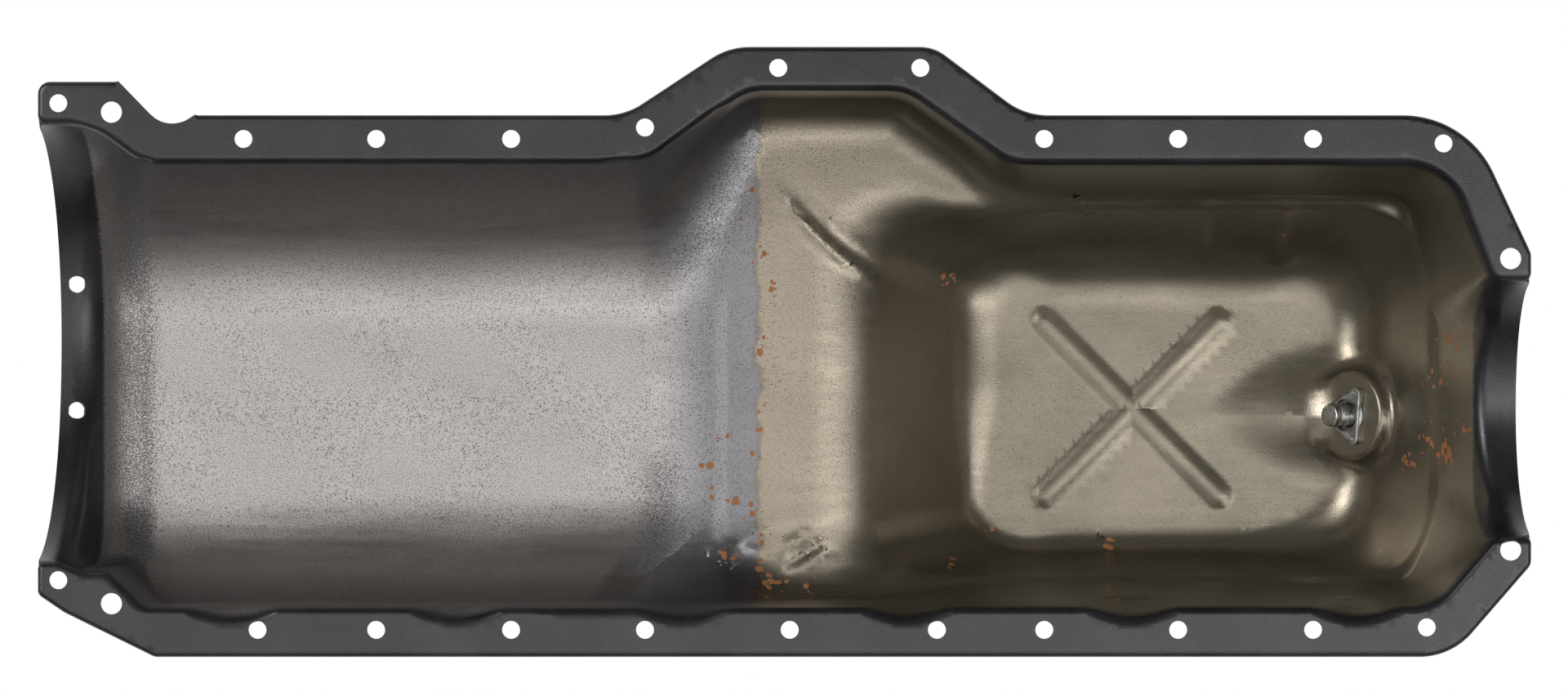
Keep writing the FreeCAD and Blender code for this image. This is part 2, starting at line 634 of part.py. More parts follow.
# Bolt holes: name, x, y and diameter
BOLT_HOLES = [
    ("far_front_top", "-sizes.column_far", "sizes.bolt_row", "sizes.small_hole"),
    ("far_front_bottom", "-sizes.column_far", "-sizes.bolt_row", "sizes.small_hole"),
    ("far_rear_top", "sizes.column_far", "sizes.bolt_row", "sizes.small_hole"),
    ("far_rear_bottom", "sizes.column_far", "-sizes.bolt_row", "sizes.small_hole"),
    ("mid_front_top", "-sizes.column_mid", "sizes.bolt_row", "sizes.small_hole"),
    ("mid_front_bottom", "-sizes.column_mid", "-sizes.bolt_row", "sizes.small_hole"),
    ("mid_rear_top", "sizes.column_mid", "sizes.bolt_row", "sizes.small_hole"),
    ("mid_rear_bottom", "sizes.column_mid", "-sizes.bolt_row", "sizes.small_hole"),
    ("near_rear_top", "sizes.column_near", "sizes.bolt_row", "sizes.small_hole"),
    ("near_rear_bottom", "sizes.column_near", "-sizes.bolt_row", "sizes.small_hole"),
    ("near_front_top", "-sizes.column_near", "sizes.column_near_front_y", "sizes.small_hole"),
    ("near_front_bottom", "-sizes.column_near", "-sizes.bolt_row", "sizes.small_hole"),
    ("bulge_front", "-sizes.bulge_hole_front_x", "sizes.bulge_row", "sizes.small_hole"),
    ("bulge_rear", "sizes.bulge_hole_rear_x", "sizes.bulge_row", "sizes.small_hole"),
    ("middle_front_bottom", "-sizes.bottom_mid_front_x", "-sizes.bolt_row", "sizes.small_hole"),
    ("middle_rear_bottom", "sizes.bottom_mid_rear_x", "-sizes.bolt_row", "sizes.small_hole"),
    ("end_front_top", "-sizes.rail_hole_front_top_x", "sizes.bolt_row", "sizes.small_hole"),
    ("end_front_bottom", "-sizes.rail_hole_front_bottom_x", "-sizes.bolt_row", "sizes.small_hole"),
    ("end_rear_top", "sizes.rail_hole_rear_top_x", "sizes.rail_hole_rear_top_y", "sizes.small_hole"),
    ("end_rear_bottom", "sizes.rail_hole_rear_bottom_x", "-sizes.rail_hole_rear_bottom_y", "sizes.small_hole"),
    ("ear_top", "-sizes.ear_hole_x", "sizes.ear_hole_top_y", "sizes.small_hole"),
    ("ear_bottom", "-sizes.ear_hole_x", "-sizes.ear_hole_bottom_y", "sizes.small_hole"),
    ("large_front_top", "-sizes.large_front_x", "sizes.large_front_top_y", "sizes.large_hole"),
    ("large_front_bottom", "-sizes.large_front_x", "-sizes.large_front_bottom_y", "sizes.large_hole"),
    ("large_rear_top", "sizes.large_rear_x", "sizes.large_rear_top_y", "sizes.large_hole"),
    ("large_rear_bottom", "sizes.large_rear_x", "-sizes.large_rear_bottom_y", "sizes.large_hole"),
]


def saddle_hole(name, angle):
    """Round hole with two flats, square to the front saddle at an angle from its lowest line."""
    turn = FreeCAD.Rotation(FreeCAD.Vector(1, 0, 0), 180 - value_of(angle))
    depth = "sizes.front_saddle_radius + 10"
    centre = ("-sizes.saddle_hole_x", "sizes.front_saddle_y", "sizes.front_saddle_z")
    drill = cylinder(name + "_drill", "sizes.saddle_hole_diameter / 2", depth, centre, turn)
    flats = box(name + "_flats", ("sizes.saddle_hole_width", "sizes.front_saddle_radius * 3",
                                  "sizes.front_saddle_radius * 3"),
                ("-sizes.saddle_hole_x - sizes.saddle_hole_width / 2", "-sizes.front_saddle_radius * 1.5",
                 "-sizes.front_saddle_radius * 2"))
    return shared(name, [drill, flats])


def pan_shell():
    """The pressed sheet: flange and grown punch together, less the punch itself and every hole."""
    inside = punch("inside")
    outside = punch("outside", "sizes.wall")
    reach = box("press_reach", ("sizes.front_edge + sizes.rear_edge", "sizes.bulge_edge * 3", "sizes.sump_depth * 2"),
                ("-sizes.front_edge", "-sizes.bulge_edge * 1.5", "-sizes.sump_depth * 2"))
    pressed = fused("pressed", [flange(), shared("outside_trimmed", [outside, reach])])
    holes = [
        cylinder("bolt_hole_" + name, diameter + " / 2", "sizes.wall + 2", (x, y, "-sizes.wall - 1"))
        for name, x, y, diameter in BOLT_HOLES
    ]
    holes.append(saddle_hole("saddle_hole_top", "-sizes.saddle_hole_angle_top"))
    holes.append(saddle_hole("saddle_hole_bottom", "sizes.saddle_hole_angle_bottom"))
    holes.append(cylinder("drain_hole", "sizes.hub_radius + sizes.hub_gap", "sizes.wall + 4",
                          drain_place("-2"), drain_turn))
    return cut("pan_shell", cut("shell_blank", pressed, inside), fused("holes", holes))


def drain_nut_plate():
    """Triangular weld nut: it lies on the pad inside, and its threaded hub passes out through the sheet."""
    corners = []
    for number in range(3):
        angle = "(sizes.plate_turn + %d)" % (120 * number)
        corners.append(("sizes.plate_corner_radius * cos%s" % angle, "sizes.plate_corner_radius * sin%s" % angle,
                        "sizes.plate_round"))
    flat = outline("plate_outline", corners, drain_turn)
    bind(flat, {"Placement.Base." + axis: place for axis, place in zip("xyz", drain_place("0"))})
    sharp = extruded("plate_sharp", flat, drain_out * -1, "sizes.plate_thickness")
    doc.recompute()
    rising = {
        number: value_of("sizes.plate_round") for number, edge in enumerate(sharp.Shape.Edges, start=1)
        if abs((edge.Vertexes[1].Point - edge.Vertexes[0].Point).normalize().dot(drain_out)) > 0.5
    }
    plate = filleted("plate_sheet", sharp, rising)
    hub = cylinder("plate_hub", "sizes.hub_radius", "sizes.wall + sizes.hub_length + sizes.plate_thickness / 2",
                   drain_place("-sizes.plate_thickness / 2"), drain_turn)
    well = cylinder("plate_well", "sizes.plate_well_radius", "sizes.plate_well_depth + 5",
                    drain_place("-sizes.plate_thickness - 5"), drain_turn)
    bore = cylinder("plate_bore", "sizes.thread_radius + sizes.thread_gap", "30", drain_place("-10"), drain_turn)
    dimples = []
    for number in range(3):
        angle = math.radians(value_of("sizes.plate_turn + %d" % (120 * number)))
        aside = drain_turn.multVec(FreeCAD.Vector(math.cos(angle), math.sin(angle), 0))
        base = drain_place("-sizes.plate_thickness - 2")
        place = ["%s + sizes.nibble_distance * (%.6f)" % (text, part) for text, part in zip(base, aside)]
        dimples.append(cylinder("plate_dimple_%d" % (number + 1), "sizes.nibble_radius",
                                "sizes.nibble_depth + 2", place, drain_turn))
    return cut("drain_nut_plate", fused("plate_blank", [plate, hub]), fused("plate_holes", [well, bore] + dimples))


# Distance outwards along the drain axis at which the washer seats
seat = "sizes.wall + sizes.hub_length"


def drain_washer():
    """Flat ring between the hub's face and the plug's head."""
    ring = cylinder("washer_ring", "sizes.washer_radius", "sizes.washer_thickness", drain_place(seat), drain_turn)
    hole = cylinder("washer_hole", "sizes.thread_radius + sizes.washer_gap", "sizes.washer_thickness + 2",
                    drain_place(seat + " - 1"), drain_turn)
    return cut("drain_washer", ring, hole)


def drain_plug():
    """Hexagon head with a round flange, plain core of the thread, and a narrower chamfered tip."""
    head_seat = seat + " + sizes.washer_thickness"
    shank = cylinder("plug_shank", "sizes.thread_radius",
                     "%s + sizes.plate_thickness + sizes.plug_reach - sizes.plug_tip_length" % head_seat,
                     drain_place("-sizes.plate_thickness - sizes.plug_reach + sizes.plug_tip_length"), drain_turn)
    tip = doc.addObject("Part::Cone", "plug_tip_chamfer")
    tip.Placement = FreeCAD.Placement(FreeCAD.Vector(), drain_turn)
    end = "-sizes.plate_thickness - sizes.plug_reach"
    bind(tip, {"Radius1": "sizes.plug_tip_radius - sizes.plug_tip_chamfer", "Radius2": "sizes.plug_tip_radius",
               "Height": "sizes.plug_tip_chamfer"})
    bind(tip, {"Placement.Base." + axis: place for axis, place in zip("xyz", drain_place(end))})
    neck = cylinder("plug_tip", "sizes.plug_tip_radius", "sizes.plug_tip_length - sizes.plug_tip_chamfer",
                    drain_place(end + " + sizes.plug_tip_chamfer"), drain_turn)
    collar = cylinder("plug_flange", "sizes.plug_flange_radius", "sizes.plug_flange_height",
                      drain_place(head_seat), drain_turn)
    head = doc.addObject("Part::Prism", "plug_head")
    head.Polygon = 6
    head.Placement = FreeCAD.Placement(FreeCAD.Vector(), drain_turn)
    bind(head, {"Circumradius": "sizes.plug_head_flats / 2 / cos(30)",
                "Height": "sizes.plug_head_height - sizes.plug_flange_height"})
    bind(head, {"Placement.Base." + axis: place
                for axis, place in zip("xyz", drain_place(head_seat + " + sizes.plug_flange_height"))})
    return fused("drain_plug", [shank, tip, neck, collar, head])


pieces = [pan_shell(), drain_nut_plate(), drain_washer(), drain_plug()]
doc.recompute()

for item in doc.Objects:
    if {"Invalid", "Error"} & set(item.State):
        raise RuntimeError("%s failed: %s" % (item.Name, item.State))
for piece in pieces:
    shape = piece.Shape
    if shape.isNull() or not shape.isValid() or len(shape.Solids) != 1:
        raise RuntimeError("%s has no single valid solid" % piece.Label)
    print(piece.Label, "volume %.0f mm3" % shape.Volume, shape.BoundBox)

for piece in pieces:
    piece.Shape.exportStep("parts/%s.step" % piece.Label)
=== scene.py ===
import math
import bmesh
import bpy
import numpy as np
from mathutils import Matrix, Vector


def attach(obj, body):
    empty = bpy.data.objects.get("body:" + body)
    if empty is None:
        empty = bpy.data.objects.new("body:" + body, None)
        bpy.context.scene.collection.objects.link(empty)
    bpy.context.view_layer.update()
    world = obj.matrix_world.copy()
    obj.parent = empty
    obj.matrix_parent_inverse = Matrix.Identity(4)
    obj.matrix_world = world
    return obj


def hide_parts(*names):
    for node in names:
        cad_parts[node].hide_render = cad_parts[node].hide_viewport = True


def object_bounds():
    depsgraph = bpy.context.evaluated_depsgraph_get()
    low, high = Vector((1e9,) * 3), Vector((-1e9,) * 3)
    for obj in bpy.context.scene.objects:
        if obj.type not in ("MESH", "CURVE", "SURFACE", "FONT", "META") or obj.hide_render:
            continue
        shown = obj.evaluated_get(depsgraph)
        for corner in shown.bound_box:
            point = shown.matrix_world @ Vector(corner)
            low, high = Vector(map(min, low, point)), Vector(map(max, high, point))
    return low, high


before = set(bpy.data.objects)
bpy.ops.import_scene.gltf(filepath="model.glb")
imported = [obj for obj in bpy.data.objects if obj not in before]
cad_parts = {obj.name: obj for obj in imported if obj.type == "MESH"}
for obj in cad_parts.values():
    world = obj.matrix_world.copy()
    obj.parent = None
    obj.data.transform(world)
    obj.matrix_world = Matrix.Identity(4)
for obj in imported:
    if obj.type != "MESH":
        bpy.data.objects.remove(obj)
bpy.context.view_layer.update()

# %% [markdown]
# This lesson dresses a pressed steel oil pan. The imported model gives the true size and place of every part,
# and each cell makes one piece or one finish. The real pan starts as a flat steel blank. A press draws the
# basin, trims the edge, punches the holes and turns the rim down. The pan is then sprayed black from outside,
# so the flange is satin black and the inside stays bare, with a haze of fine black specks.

MM = 0.001
IMAGE_WIDTH_MM = 768.0
CAMERA_HEIGHT_MM = 2800.0
CAMERA_AIM_MM = (-29.7, 18.8)
SENSOR_MM = 36.0


def placed(name, data):
    """New object in the scene, at the origin."""
    piece = bpy.data.objects.new(name, data)
    bpy.context.scene.collection.objects.link(piece)
    return piece


camera_data = bpy.data.cameras.new("overhead_camera")
camera_data.sensor_width = SENSOR_MM
camera_data.lens = SENSOR_MM * CAMERA_HEIGHT_MM / IMAGE_WIDTH_MM
camera = placed("overhead_camera", camera_data)
camera.location = (CAMERA_AIM_MM[0] * MM, CAMERA_AIM_MM[1] * MM, CAMERA_HEIGHT_MM * MM)
bpy.context.scene.camera = camera
print("lens", round(camera_data.lens, 2), "mm")

# %% [markdown]
# A press can't draw a sharp corner: every wall runs into its floor and its neighbour in a round bend, and the
# bends differ from place to place. A mesh made face by face would need hundreds of bends placed by hand, so
# the pan is a signed distance instead: below zero in the air above the sheet, above zero in the sheet. Two
# such distances join in a true round bend of any radius by the two short formulas here. They need the cosine
# of the angle between the two directions that point out of the air, which is 0 for a square corner.

# %% Round joints between distances


def round_both(a, b, radius, cosine=0.0):
    """Distance of the space that lies in both a and b, with a round bend where they meet."""
    over_a = a + radius
    over_b = b + radius
    in_bend = (over_a > cosine * over_b) & (over_b > cosine * over_a)
    square = over_a ** 2 + over_b ** 2 - 2 * cosine * over_a * over_b
    reach = np.sqrt(np.maximum(square, 0) / (1 - cosine ** 2))
    return np.where(in_bend, reach - radius, np.maximum(a, b))


def round_either(a, b, radius, cosine=0.0):
    """Distance of the space that lies in a or in b, with a round bend where they meet."""
    return -round_both(-a, -b, radius, cosine)


def ease(start, end, value):
    """Smooth step from 0 at start to 1 at end."""
    share = np.clip((value - start) / (end - start), 0, 1)
    return share * share * (3 - 2 * share)


def between(first, second, share):
    """Value that goes from first to second as the share goes from 0 to 1."""
    return first + (second - first) * share


# %% [markdown]
# The flange outline and the basin's opening are closed paths of straight lines with round corners. The next
# cell gives the distance to such a path. The nearest line or arc decides both the distance and the side.

# %% Paths with round corners


def round_path(corners):
    """Function that gives the distance to a closed path of (x, y, corner radius), negative inside."""
    points = np.array([corner[:2] for corner in corners], float)
    back = np.roll(points, 1, axis=0)
    ahead = np.roll(points, -1, axis=0)
    facing = np.sign(np.sum(back[:, 0] * points[:, 1] - points[:, 0] * back[:, 1]))
    to_back = (back - points) / np.linalg.norm(back - points, axis=1)[:, None]
    to_ahead = (ahead - points) / np.linalg.norm(ahead - points, axis=1)[:, None]
    half = np.arccos(np.sum(to_back * to_ahead, axis=1)) / 2
    radii = np.array([corner[2] for corner in corners], float)
    start = points + to_back * (radii / np.tan(half))[:, None]
    end = points + to_ahead * (radii / np.tan(half))[:, None]
    middle = to_back + to_ahead
    middle /= np.linalg.norm(middle, axis=1)[:, None]
    centre = points + middle * (radii / np.sin(half))[:, None]
    turn = -facing * (to_back[:, 0] * to_ahead[:, 1] - to_back[:, 1] * to_ahead[:, 0])

    def distance(x, y):
        best = np.full(np.broadcast(x, y).shape, np.inf)
        signed = best.copy()
        for index in range(len(points)):
            run = np.roll(start, -1, axis=0)[index] - end[index]
            length = np.hypot(*run)
            run = run / length
            along_x = x - end[index, 0]
            along_y = y - end[index, 1]
            along = np.clip(along_x * run[0] + along_y * run[1], 0, length)
            away = np.hypot(along_x - along * run[0], along_y - along * run[1])
            side = np.sign(along_y * run[0] - along_x * run[1]) * -facing
            signed = np.where(away < best, side * away, signed)
            best = np.minimum(best, away)
            from_centre_x = x - centre[index, 0]
            from_centre_y = y - centre[index, 1]
            reach = np.hypot(from_centre_x, from_centre_y)
            facing_corner = -(from_centre_x * middle[index, 0] + from_centre_y * middle[index, 1])
            off_arc = reach - radii[index]
            near = (facing_corner >= reach * np.sin(half[index])) & (np.abs(off_arc) < best)
            signed = np.where(near, off_arc * np.sign(turn[index]), signed)
            best = np.where(near, np.abs(off_arc), best)
        return signed

    return distance


# %% [markdown]
# The outline is the flange's edge, in millimetres from the middle of the outer bolt rectangle, each corner as
# (x, y, radius). The front is at the left, with an ear and a notch at its far corner. The far rail has a
# bulge, and the rear corners are clipped. The opening has the same form, one flange width further in.

# %% Outline, opening and bolt holes
WIDE = 34.0
FLANGE_EDGE = [
    (-395.5, 148.3, 6), (-395.5, -103.0, 4), (-382.5, -111.8, 12), (-338.2, -133.6, 6), (297.4, -133.6, WIDE),
    (336.6, -88.4, 6), (336.6, 64.2, 6), (304.9, 131.9, 49), (88.5, 131.9, WIDE), (43.8, 165.4, 20.4),
    (-56.8, 165.4, WIDE), (-107.7, 131.9, WIDE), (-318.5, 131.9, 2), (-331.6, 123.4, 15), (-355.7, 148.3, 2),
]
HALF_WIDTH = 109.5
WALL_INSET = 1.6
OPENING_EDGE = [
    (-410.0, 156.1, 5), (-410.0, -91.8, 5), (-361.0, -91.8, 5), (-343.0, -HALF_WIDTH, 12),
    (289.3, -HALF_WIDTH, 26), (319.0, -74.8, 5), (350.0, -74.8, 5), (350.0, 51.2, 5), (319.0, 51.2, 5),
    (296.6, HALF_WIDTH, 33), (81.4, HALF_WIDTH, 26), (29.9, 145.4, 26), (-48.2, 145.4, 26),
    (-96.7, HALF_WIDTH, 26), (-346.5, HALF_WIDTH, 12),
]
flange_edge = round_path(FLANGE_EDGE)
opening_edge = round_path(OPENING_EDGE)

SMALL_HOLE = 4.4
LARGE_HOLE = 5.2
BOLT_ROW = 120.2
small_places = [(side * column, row) for column in (229.5, 163.4) for side in (-1, 1)
                for row in (-BOLT_ROW, BOLT_ROW)]
small_places += [
    (97.8, BOLT_ROW), (97.8, -BOLT_ROW), (-97.8, 125.8), (-97.8, -BOLT_ROW), (-32.5, 155.0), (37.1, 155.0),
    (-26.9, -BOLT_ROW), (45.2, -BOLT_ROW), (-294.5, BOLT_ROW), (-287.6, -BOLT_ROW), (293.4, 118.0),
    (285.2, -119.0), (-385.2, 137.7), (-385.2, -95.9),
]
large_places = [(-359.2, 133.3), (-359.2, -107.4), (326.3, 61.6), (326.3, -81.1)]
BOLT_HOLES = [(x, y, SMALL_HOLE) for x, y in small_places] + [(x, y, LARGE_HOLE) for x, y in large_places]
print(len(BOLT_HOLES), "bolt holes")

# %% [markdown]
# The basin is built up as a press tool would be. The front trough has a flat floor with one wide and one
# narrow round side. A slanting step leads to the boxy shelf, which takes in the bulge. The floor then falls
# away into the deep sump, whose walls lean in twice, with a narrow ledge along the far side. Bends are radii,
# and a bend that changes on its way is a pair. Each sump wall is given by its distance from the origin at the
# ledge's level and its run inwards from there to the floor.

# %% Shape of the basin
TROUGH_DEPTH = 115.0
SHELF_DEPTH = 116.0
LEDGE_DEPTH = 110.0
SUMP_DEPTH = 180.0
FRONT_WALL = -380.0
FRONT_BEND = 30.0
SUMP_FRONT = (1.0, 69.0)
SUMP_REAR = (301.0, 30.0)
SUMP_FAR = (89.0, 25.3)
SUMP_NEAR = (100.7, 13.0)
SUMP_RISE = SUMP_DEPTH - LEDGE_DEPTH
SUMP_CORNERS_TO_REAR = (32.0, 45.0)
SUMP_FOOT_TO_FAR = (16.0, 36.0)
SUMP_FOOT_REAR = 28.0
UPPER_REAR_RUN = 36.7
UPPER_NEAR_RUN = 8.8
UPPER_FAR_RUN = 13.0
UPPER_CORNER = 20.0
FOOT_TO_BULGE = (16.0, 22.0)
FOOT_LEDGE = 8.0
LIP_TO_SIDES = (52.0, 14.0)
LIP_LEDGE = 4.0
TROUGH_SIDE_TO_FAR = (52.0, 80.0)
TROUGH_END = -60.0
SADDLE_FLOOR_END = -346.0
STEP_CREST = 9.0
STEP_FOOT_TO_FAR = (40.0, 28.0)
STEP_LEAN = 0.36
CRANK_Y = 20.2
CRANK_Z = 13.0
FRONT_SADDLE = 108.0
REAR_SADDLE_Y = -11.8
REAR_SADDLE = 62.0
SCALLOP_PITCH = 110.4
SCALLOP_FIRST = -300.9
SCALLOP_RADIUS = 44.07
SHELF_FOOT = round_path([
    (-108.5, -180.0, 5), (-108.5, -50.0, 30), (-104.0, 0.0, 60), (-108.0, 42.6, 20), (-64.6, 121.9, 30),
    (-27.0, 190.0, 5), (420.0, 190.0, 5), (420.0, -180.0, 5),
])
# Cosines between outward directions: floor with the sump's front slope and its sides, and wall with wall.
FLOOR_COSINES = (0.686, 0.35)
WALL_COSINE = 0.15


def leaning(across, height, foot, run, rise=SUMP_RISE):
    """Distance past a wall that is at foot at the ledge's level and leans in by run over each rise down."""
    return ((across - foot) * rise - (height + LEDGE_DEPTH) * run) / math.hypot(run, rise)


def sump_block(x, y, z):
    """Lower part of the sump: four leaning walls with round corners and a round edge to the floor."""
    ends = np.maximum(leaning(-x, z, *SUMP_FRONT), leaning(x, z, *SUMP_REAR))
    sides = np.maximum(leaning(y, z, *SUMP_FAR), leaning(-y, z, *SUMP_NEAR))
    walls = round_both(ends, sides, between(*SUMP_CORNERS_TO_REAR, ease(100, 220, x)), WALL_COSINE)
    foot = between(between(*SUMP_FOOT_TO_FAR, ease(-60, 0, y)), SUMP_FOOT_REAR, ease(200, 250, x))
    return round_both(walls, -z - SUMP_DEPTH, foot, between(*FLOOR_COSINES, ease(78, 120, x)))


def basin(x, y, z):
    """Air in the trough, the shelf and the sump, up past the flange."""
    opening = opening_edge(x, y)
    far_side = ease(-20, 20, y)
    in_sump = ease(15.0, 80.0, x)
    on_ledge = between(in_sump, ease(62.0, 125.0, x), far_side)
    lean = between(UPPER_NEAR_RUN * in_sump, UPPER_FAR_RUN * ease(55.0, 110.0, x), far_side) / LEDGE_DEPTH
    side = np.where(x < -250, np.abs(y) - HALF_WIDTH, opening) + WALL_INSET * far_side
    wall = side + lean * np.maximum(-z, 0)
    wall = round_both(wall, leaning(x, z, SUMP_REAR[0], UPPER_REAR_RUN, LEDGE_DEPTH), UPPER_CORNER)
    depth = SHELF_DEPTH + (LEDGE_DEPTH - SHELF_DEPTH) * on_ledge
    lip = between(between(*LIP_TO_SIDES, ease(12.0, 60.0, x)), LIP_LEDGE, on_ledge)
    floor = round_either(-z - depth, sump_block(x, y, z), lip, between(*FLOOR_COSINES, ease(18, 60, x)))
    step = (SHELF_FOOT(x, y) - STEP_LEAN * (z + SHELF_DEPTH)) / math.hypot(1, STEP_LEAN)
    foot = between(between(*FOOT_TO_BULGE, ease(60, 120, y)), FOOT_LEDGE, on_ledge)
    foot = between(foot, between(*STEP_FOOT_TO_FAR, ease(-60, 0, y)), ease(-25.0, -70.0, x))
    shelf = round_both(round_both(wall, step, 12.0), floor, foot)
    trough = round_both(wall, -z - TROUGH_DEPTH, between(*TROUGH_SIDE_TO_FAR, ease(-30, 30, y)))
    trough = round_both(trough, x - TROUGH_END, 10.0)
    hollow = round_either(trough, shelf, STEP_CREST)
    hollow = round_both(hollow, FRONT_WALL - x, FRONT_BEND)
    saddle = round_both(np.hypot(y - CRANK_Y, z - CRANK_Z) - FRONT_SADDLE, x - SADDLE_FLOOR_END, 3.0)
    hollow = round_either(hollow, saddle, 9.0)
    hollow = round_both(hollow, opening, 0.4 + 6 * ease(-344, -356, x))
    rear = round_both(np.hypot(y - REAR_SADDLE_Y, z) - REAR_SADDLE, 300.0 - x, 3.0)
    return round_either(hollow, rear, 5.0)


# %% [markdown]
# Small pressed forms come next. Scallops in the near wall clear the connecting rods. Crossed beads stiffen
# the sump floor, two ribs climb its far wall, and a ramp rises to the round pad that carries the drain. The
# sheet also wrinkled a little where it was drawn in from two sides at once.

# %% Scallops, beads, ramp, pad and wrinkles
DRAIN = np.array([262.4, -16.9, -160.0])
DRAIN_TILT = math.radians(49.0)
DRAIN_OUT = np.array([math.sin(DRAIN_TILT), 0.0, -math.cos(DRAIN_TILT)])
CROSS_MIDDLE = (151.5, -13.7)
CROSS_REACH = 64.0
BEAD_RADIUS = 8.0
BEAD_RISE = 1.2
RIB_RISE = 1.6
RIBS_X = (188.6, 227.4)
RAMP_START = 190.0
RAMP_END = 249.0
RAMP_END_DEPTH = 170.5
RAMP_HALF_WIDTH = 7.0
RAMP_FLANK = 1.7
PAD_RADIUS = 23.5
SCALLOP_BULGE = 4.8


def capsule(x, y, z, start, end, radius):
    """Distance to a round bar between two points."""
    start = np.array(start, float)
    run = np.array(end, float) - start
    along = (x - start[0]) * run[0] + (y - start[1]) * run[1] + (z - start[2]) * run[2]
    share = np.clip(along / np.dot(run, run), 0, 1)
    return np.sqrt((x - start[0] - share * run[0]) ** 2 + (y - start[1] - share * run[1]) ** 2
                   + (z - start[2] - share * run[2]) ** 2) - radius


def scalloped(air, x, y, z):
    """The air, with the six rod clearance scallops added along the near wall."""
    nearest = np.clip(np.round((x - SCALLOP_FIRST) / SCALLOP_PITCH), 0, 5) * SCALLOP_PITCH + SCALLOP_FIRST
    fade = np.clip(-z / 60.0, 0, 1) * 10.0
    middle_y = -HALF_WIDTH - SCALLOP_BULGE + SCALLOP_RADIUS
    scallop = np.hypot(x - nearest, y - middle_y) - SCALLOP_RADIUS + fade
    scallop = round_both(scallop, -z - 50.0, 10.0)
    return round_either(air, scallop, 3.0)


def drain_forms(air, x, y, z):
    """The air, with the ramp and the drain pad raised into it."""
    climb = (x - RAMP_START) / (RAMP_END - RAMP_START)
    top = -SUMP_DEPTH + climb * (SUMP_DEPTH - RAMP_END_DEPTH)
    fade = ease(185.0, 235.0, x)
    crown = (z - top) * 0.97
    flank = (np.abs(y - DRAIN[1]) - RAMP_HALF_WIDTH - RAMP_FLANK * (top - z)) / 1.97
    ramp = round_both(crown, flank, 5.0) + between(6.0, 0.0, fade)
    air = round_both(air, -ramp, 8.0)
    out = (x - DRAIN[0]) * DRAIN_OUT[0] + (z - DRAIN[2]) * DRAIN_OUT[2]
    square = (x - DRAIN[0]) ** 2 + (y - DRAIN[1]) ** 2 + (z - DRAIN[2]) ** 2
    across = np.sqrt(np.maximum(square - out ** 2, 0))
    pad = round_both(across - PAD_RADIUS, -out, 2.5)
    return round_both(air, -pad, 9.0)


def beaded(air, x, y, z):
    """The air, with the crossed beads and the two wall ribs raised into it."""
    low = -SUMP_DEPTH - BEAD_RADIUS + BEAD_RISE
    arm = CROSS_REACH * math.sqrt(0.5)
    bars = None
    for slant in (1, -1):
        ends = [(CROSS_MIDDLE[0] + way * arm, CROSS_MIDDLE[1] + way * slant * arm, low) for way in (-1, 1)]
        bar = capsule(x, y, z, ends[0], ends[1], BEAD_RADIUS)
        bars = bar if bars is None else np.minimum(bars, bar)
    for rib_x in RIBS_X:
        foot = (rib_x, SUMP_FAR[0] - SUMP_FAR[1] + BEAD_RADIUS - RIB_RISE, -SUMP_DEPTH + 6.0)
        head = (rib_x, SUMP_FAR[0] + BEAD_RADIUS - RIB_RISE, -LEDGE_DEPTH - 6.0)
        bars = np.minimum(bars, capsule(x, y, z, foot, head, BEAD_RADIUS))
    return round_both(air, -bars, 3.0)


def ridge(x, y, points, width):
    """Height from 0 to 1 of a soft ridge along a curved line through three points."""
    first, middle, last = (np.array(point, float) for point in points)
    control = 2 * middle - (first + last) / 2
    best = np.full(np.broadcast(x, y).shape, np.inf)
    where = best.copy()
    for step in np.linspace(0, 1, 25):
        at = (1 - step) ** 2 * first + 2 * step * (1 - step) * control + step ** 2 * last
        away = np.hypot(x - at[0], y - at[1])
        where = np.where(away < best, step, where)
        best = np.minimum(best, away)
    return np.exp(-(best / width) ** 2) * np.sin(np.pi * np.clip(where, 0.02, 0.98)) ** 0.7


# Each wrinkle: three points of its line, its width and its height.
WRINKLES = [
    (((-30.0, 96.0), (-11.5, 73.5), (16.0, 53.0)), 3.6, 1.7),
    (((-23.0, 99.0), (-4.0, 78.0), (22.0, 60.0)), 5.5, -1.3),
    (((-63.0, -94.0), (-54.0, -82.5), (-35.0, -75.0)), 5.5, 1.8),
    (((-31.0, -84.4), (-22.0, -80.5), (-11.0, -77.0)), 4.0, -1.3),
    (((-34.0, -96.0), (-23.0, -89.5), (-7.0, -81.5)), 4.5, 1.6),
    (((-22.0, -92.5), (-14.0, -88.5), (-4.0, -84.0)), 3.5, -1.2),
    (((116.0, 97.0), (119.0, 92.0), (122.0, 84.0)), 3.0, 2.0),
    (((140.0, -82.0), (137.0, -92.0), (139.0, -104.0)), 8.0, 1.4),
]


def wrinkled(air, x, y, z):
    """The air, pushed up or down by the creases that the draw left in the floor."""
    lift = 0
    for points, width, height in WRINKLES:
        lift = lift + height * ridge(x, y, points, width)
    waves = 0.35 * np.sin(x / 23.0 + 1.3 * np.sin(y / 31.0)) * np.sin(y / 19.0 + 0.8)
    return air + (lift + waves) * ease(-30.0, -60.0, z)


# %% [markdown]
# The flange is flat on top and turned down at its rim. Both saddles and the notch have no lip, because the
# real edge is simply cut there. The sheet runs on past the outline at those places and is trimmed later.

# %% The whole sheet as one distance
SHEET = 1.5
LIP_DROP = 5.0
LIP_BEND = 2.6
OPENING_BEND = 4.6
FAR = 50.0


def without_lip(x, y):
    """True where the outline is a plain cut edge."""
    front = (x < -380) & (y > -87.8) & (y < 128.2)
    rear = (x > 325) & (y > -74.8) & (y < 51.2)
    notch = (x > -357.0) & (x < -317.5) & (y > 112.0)
    return front | rear | notch


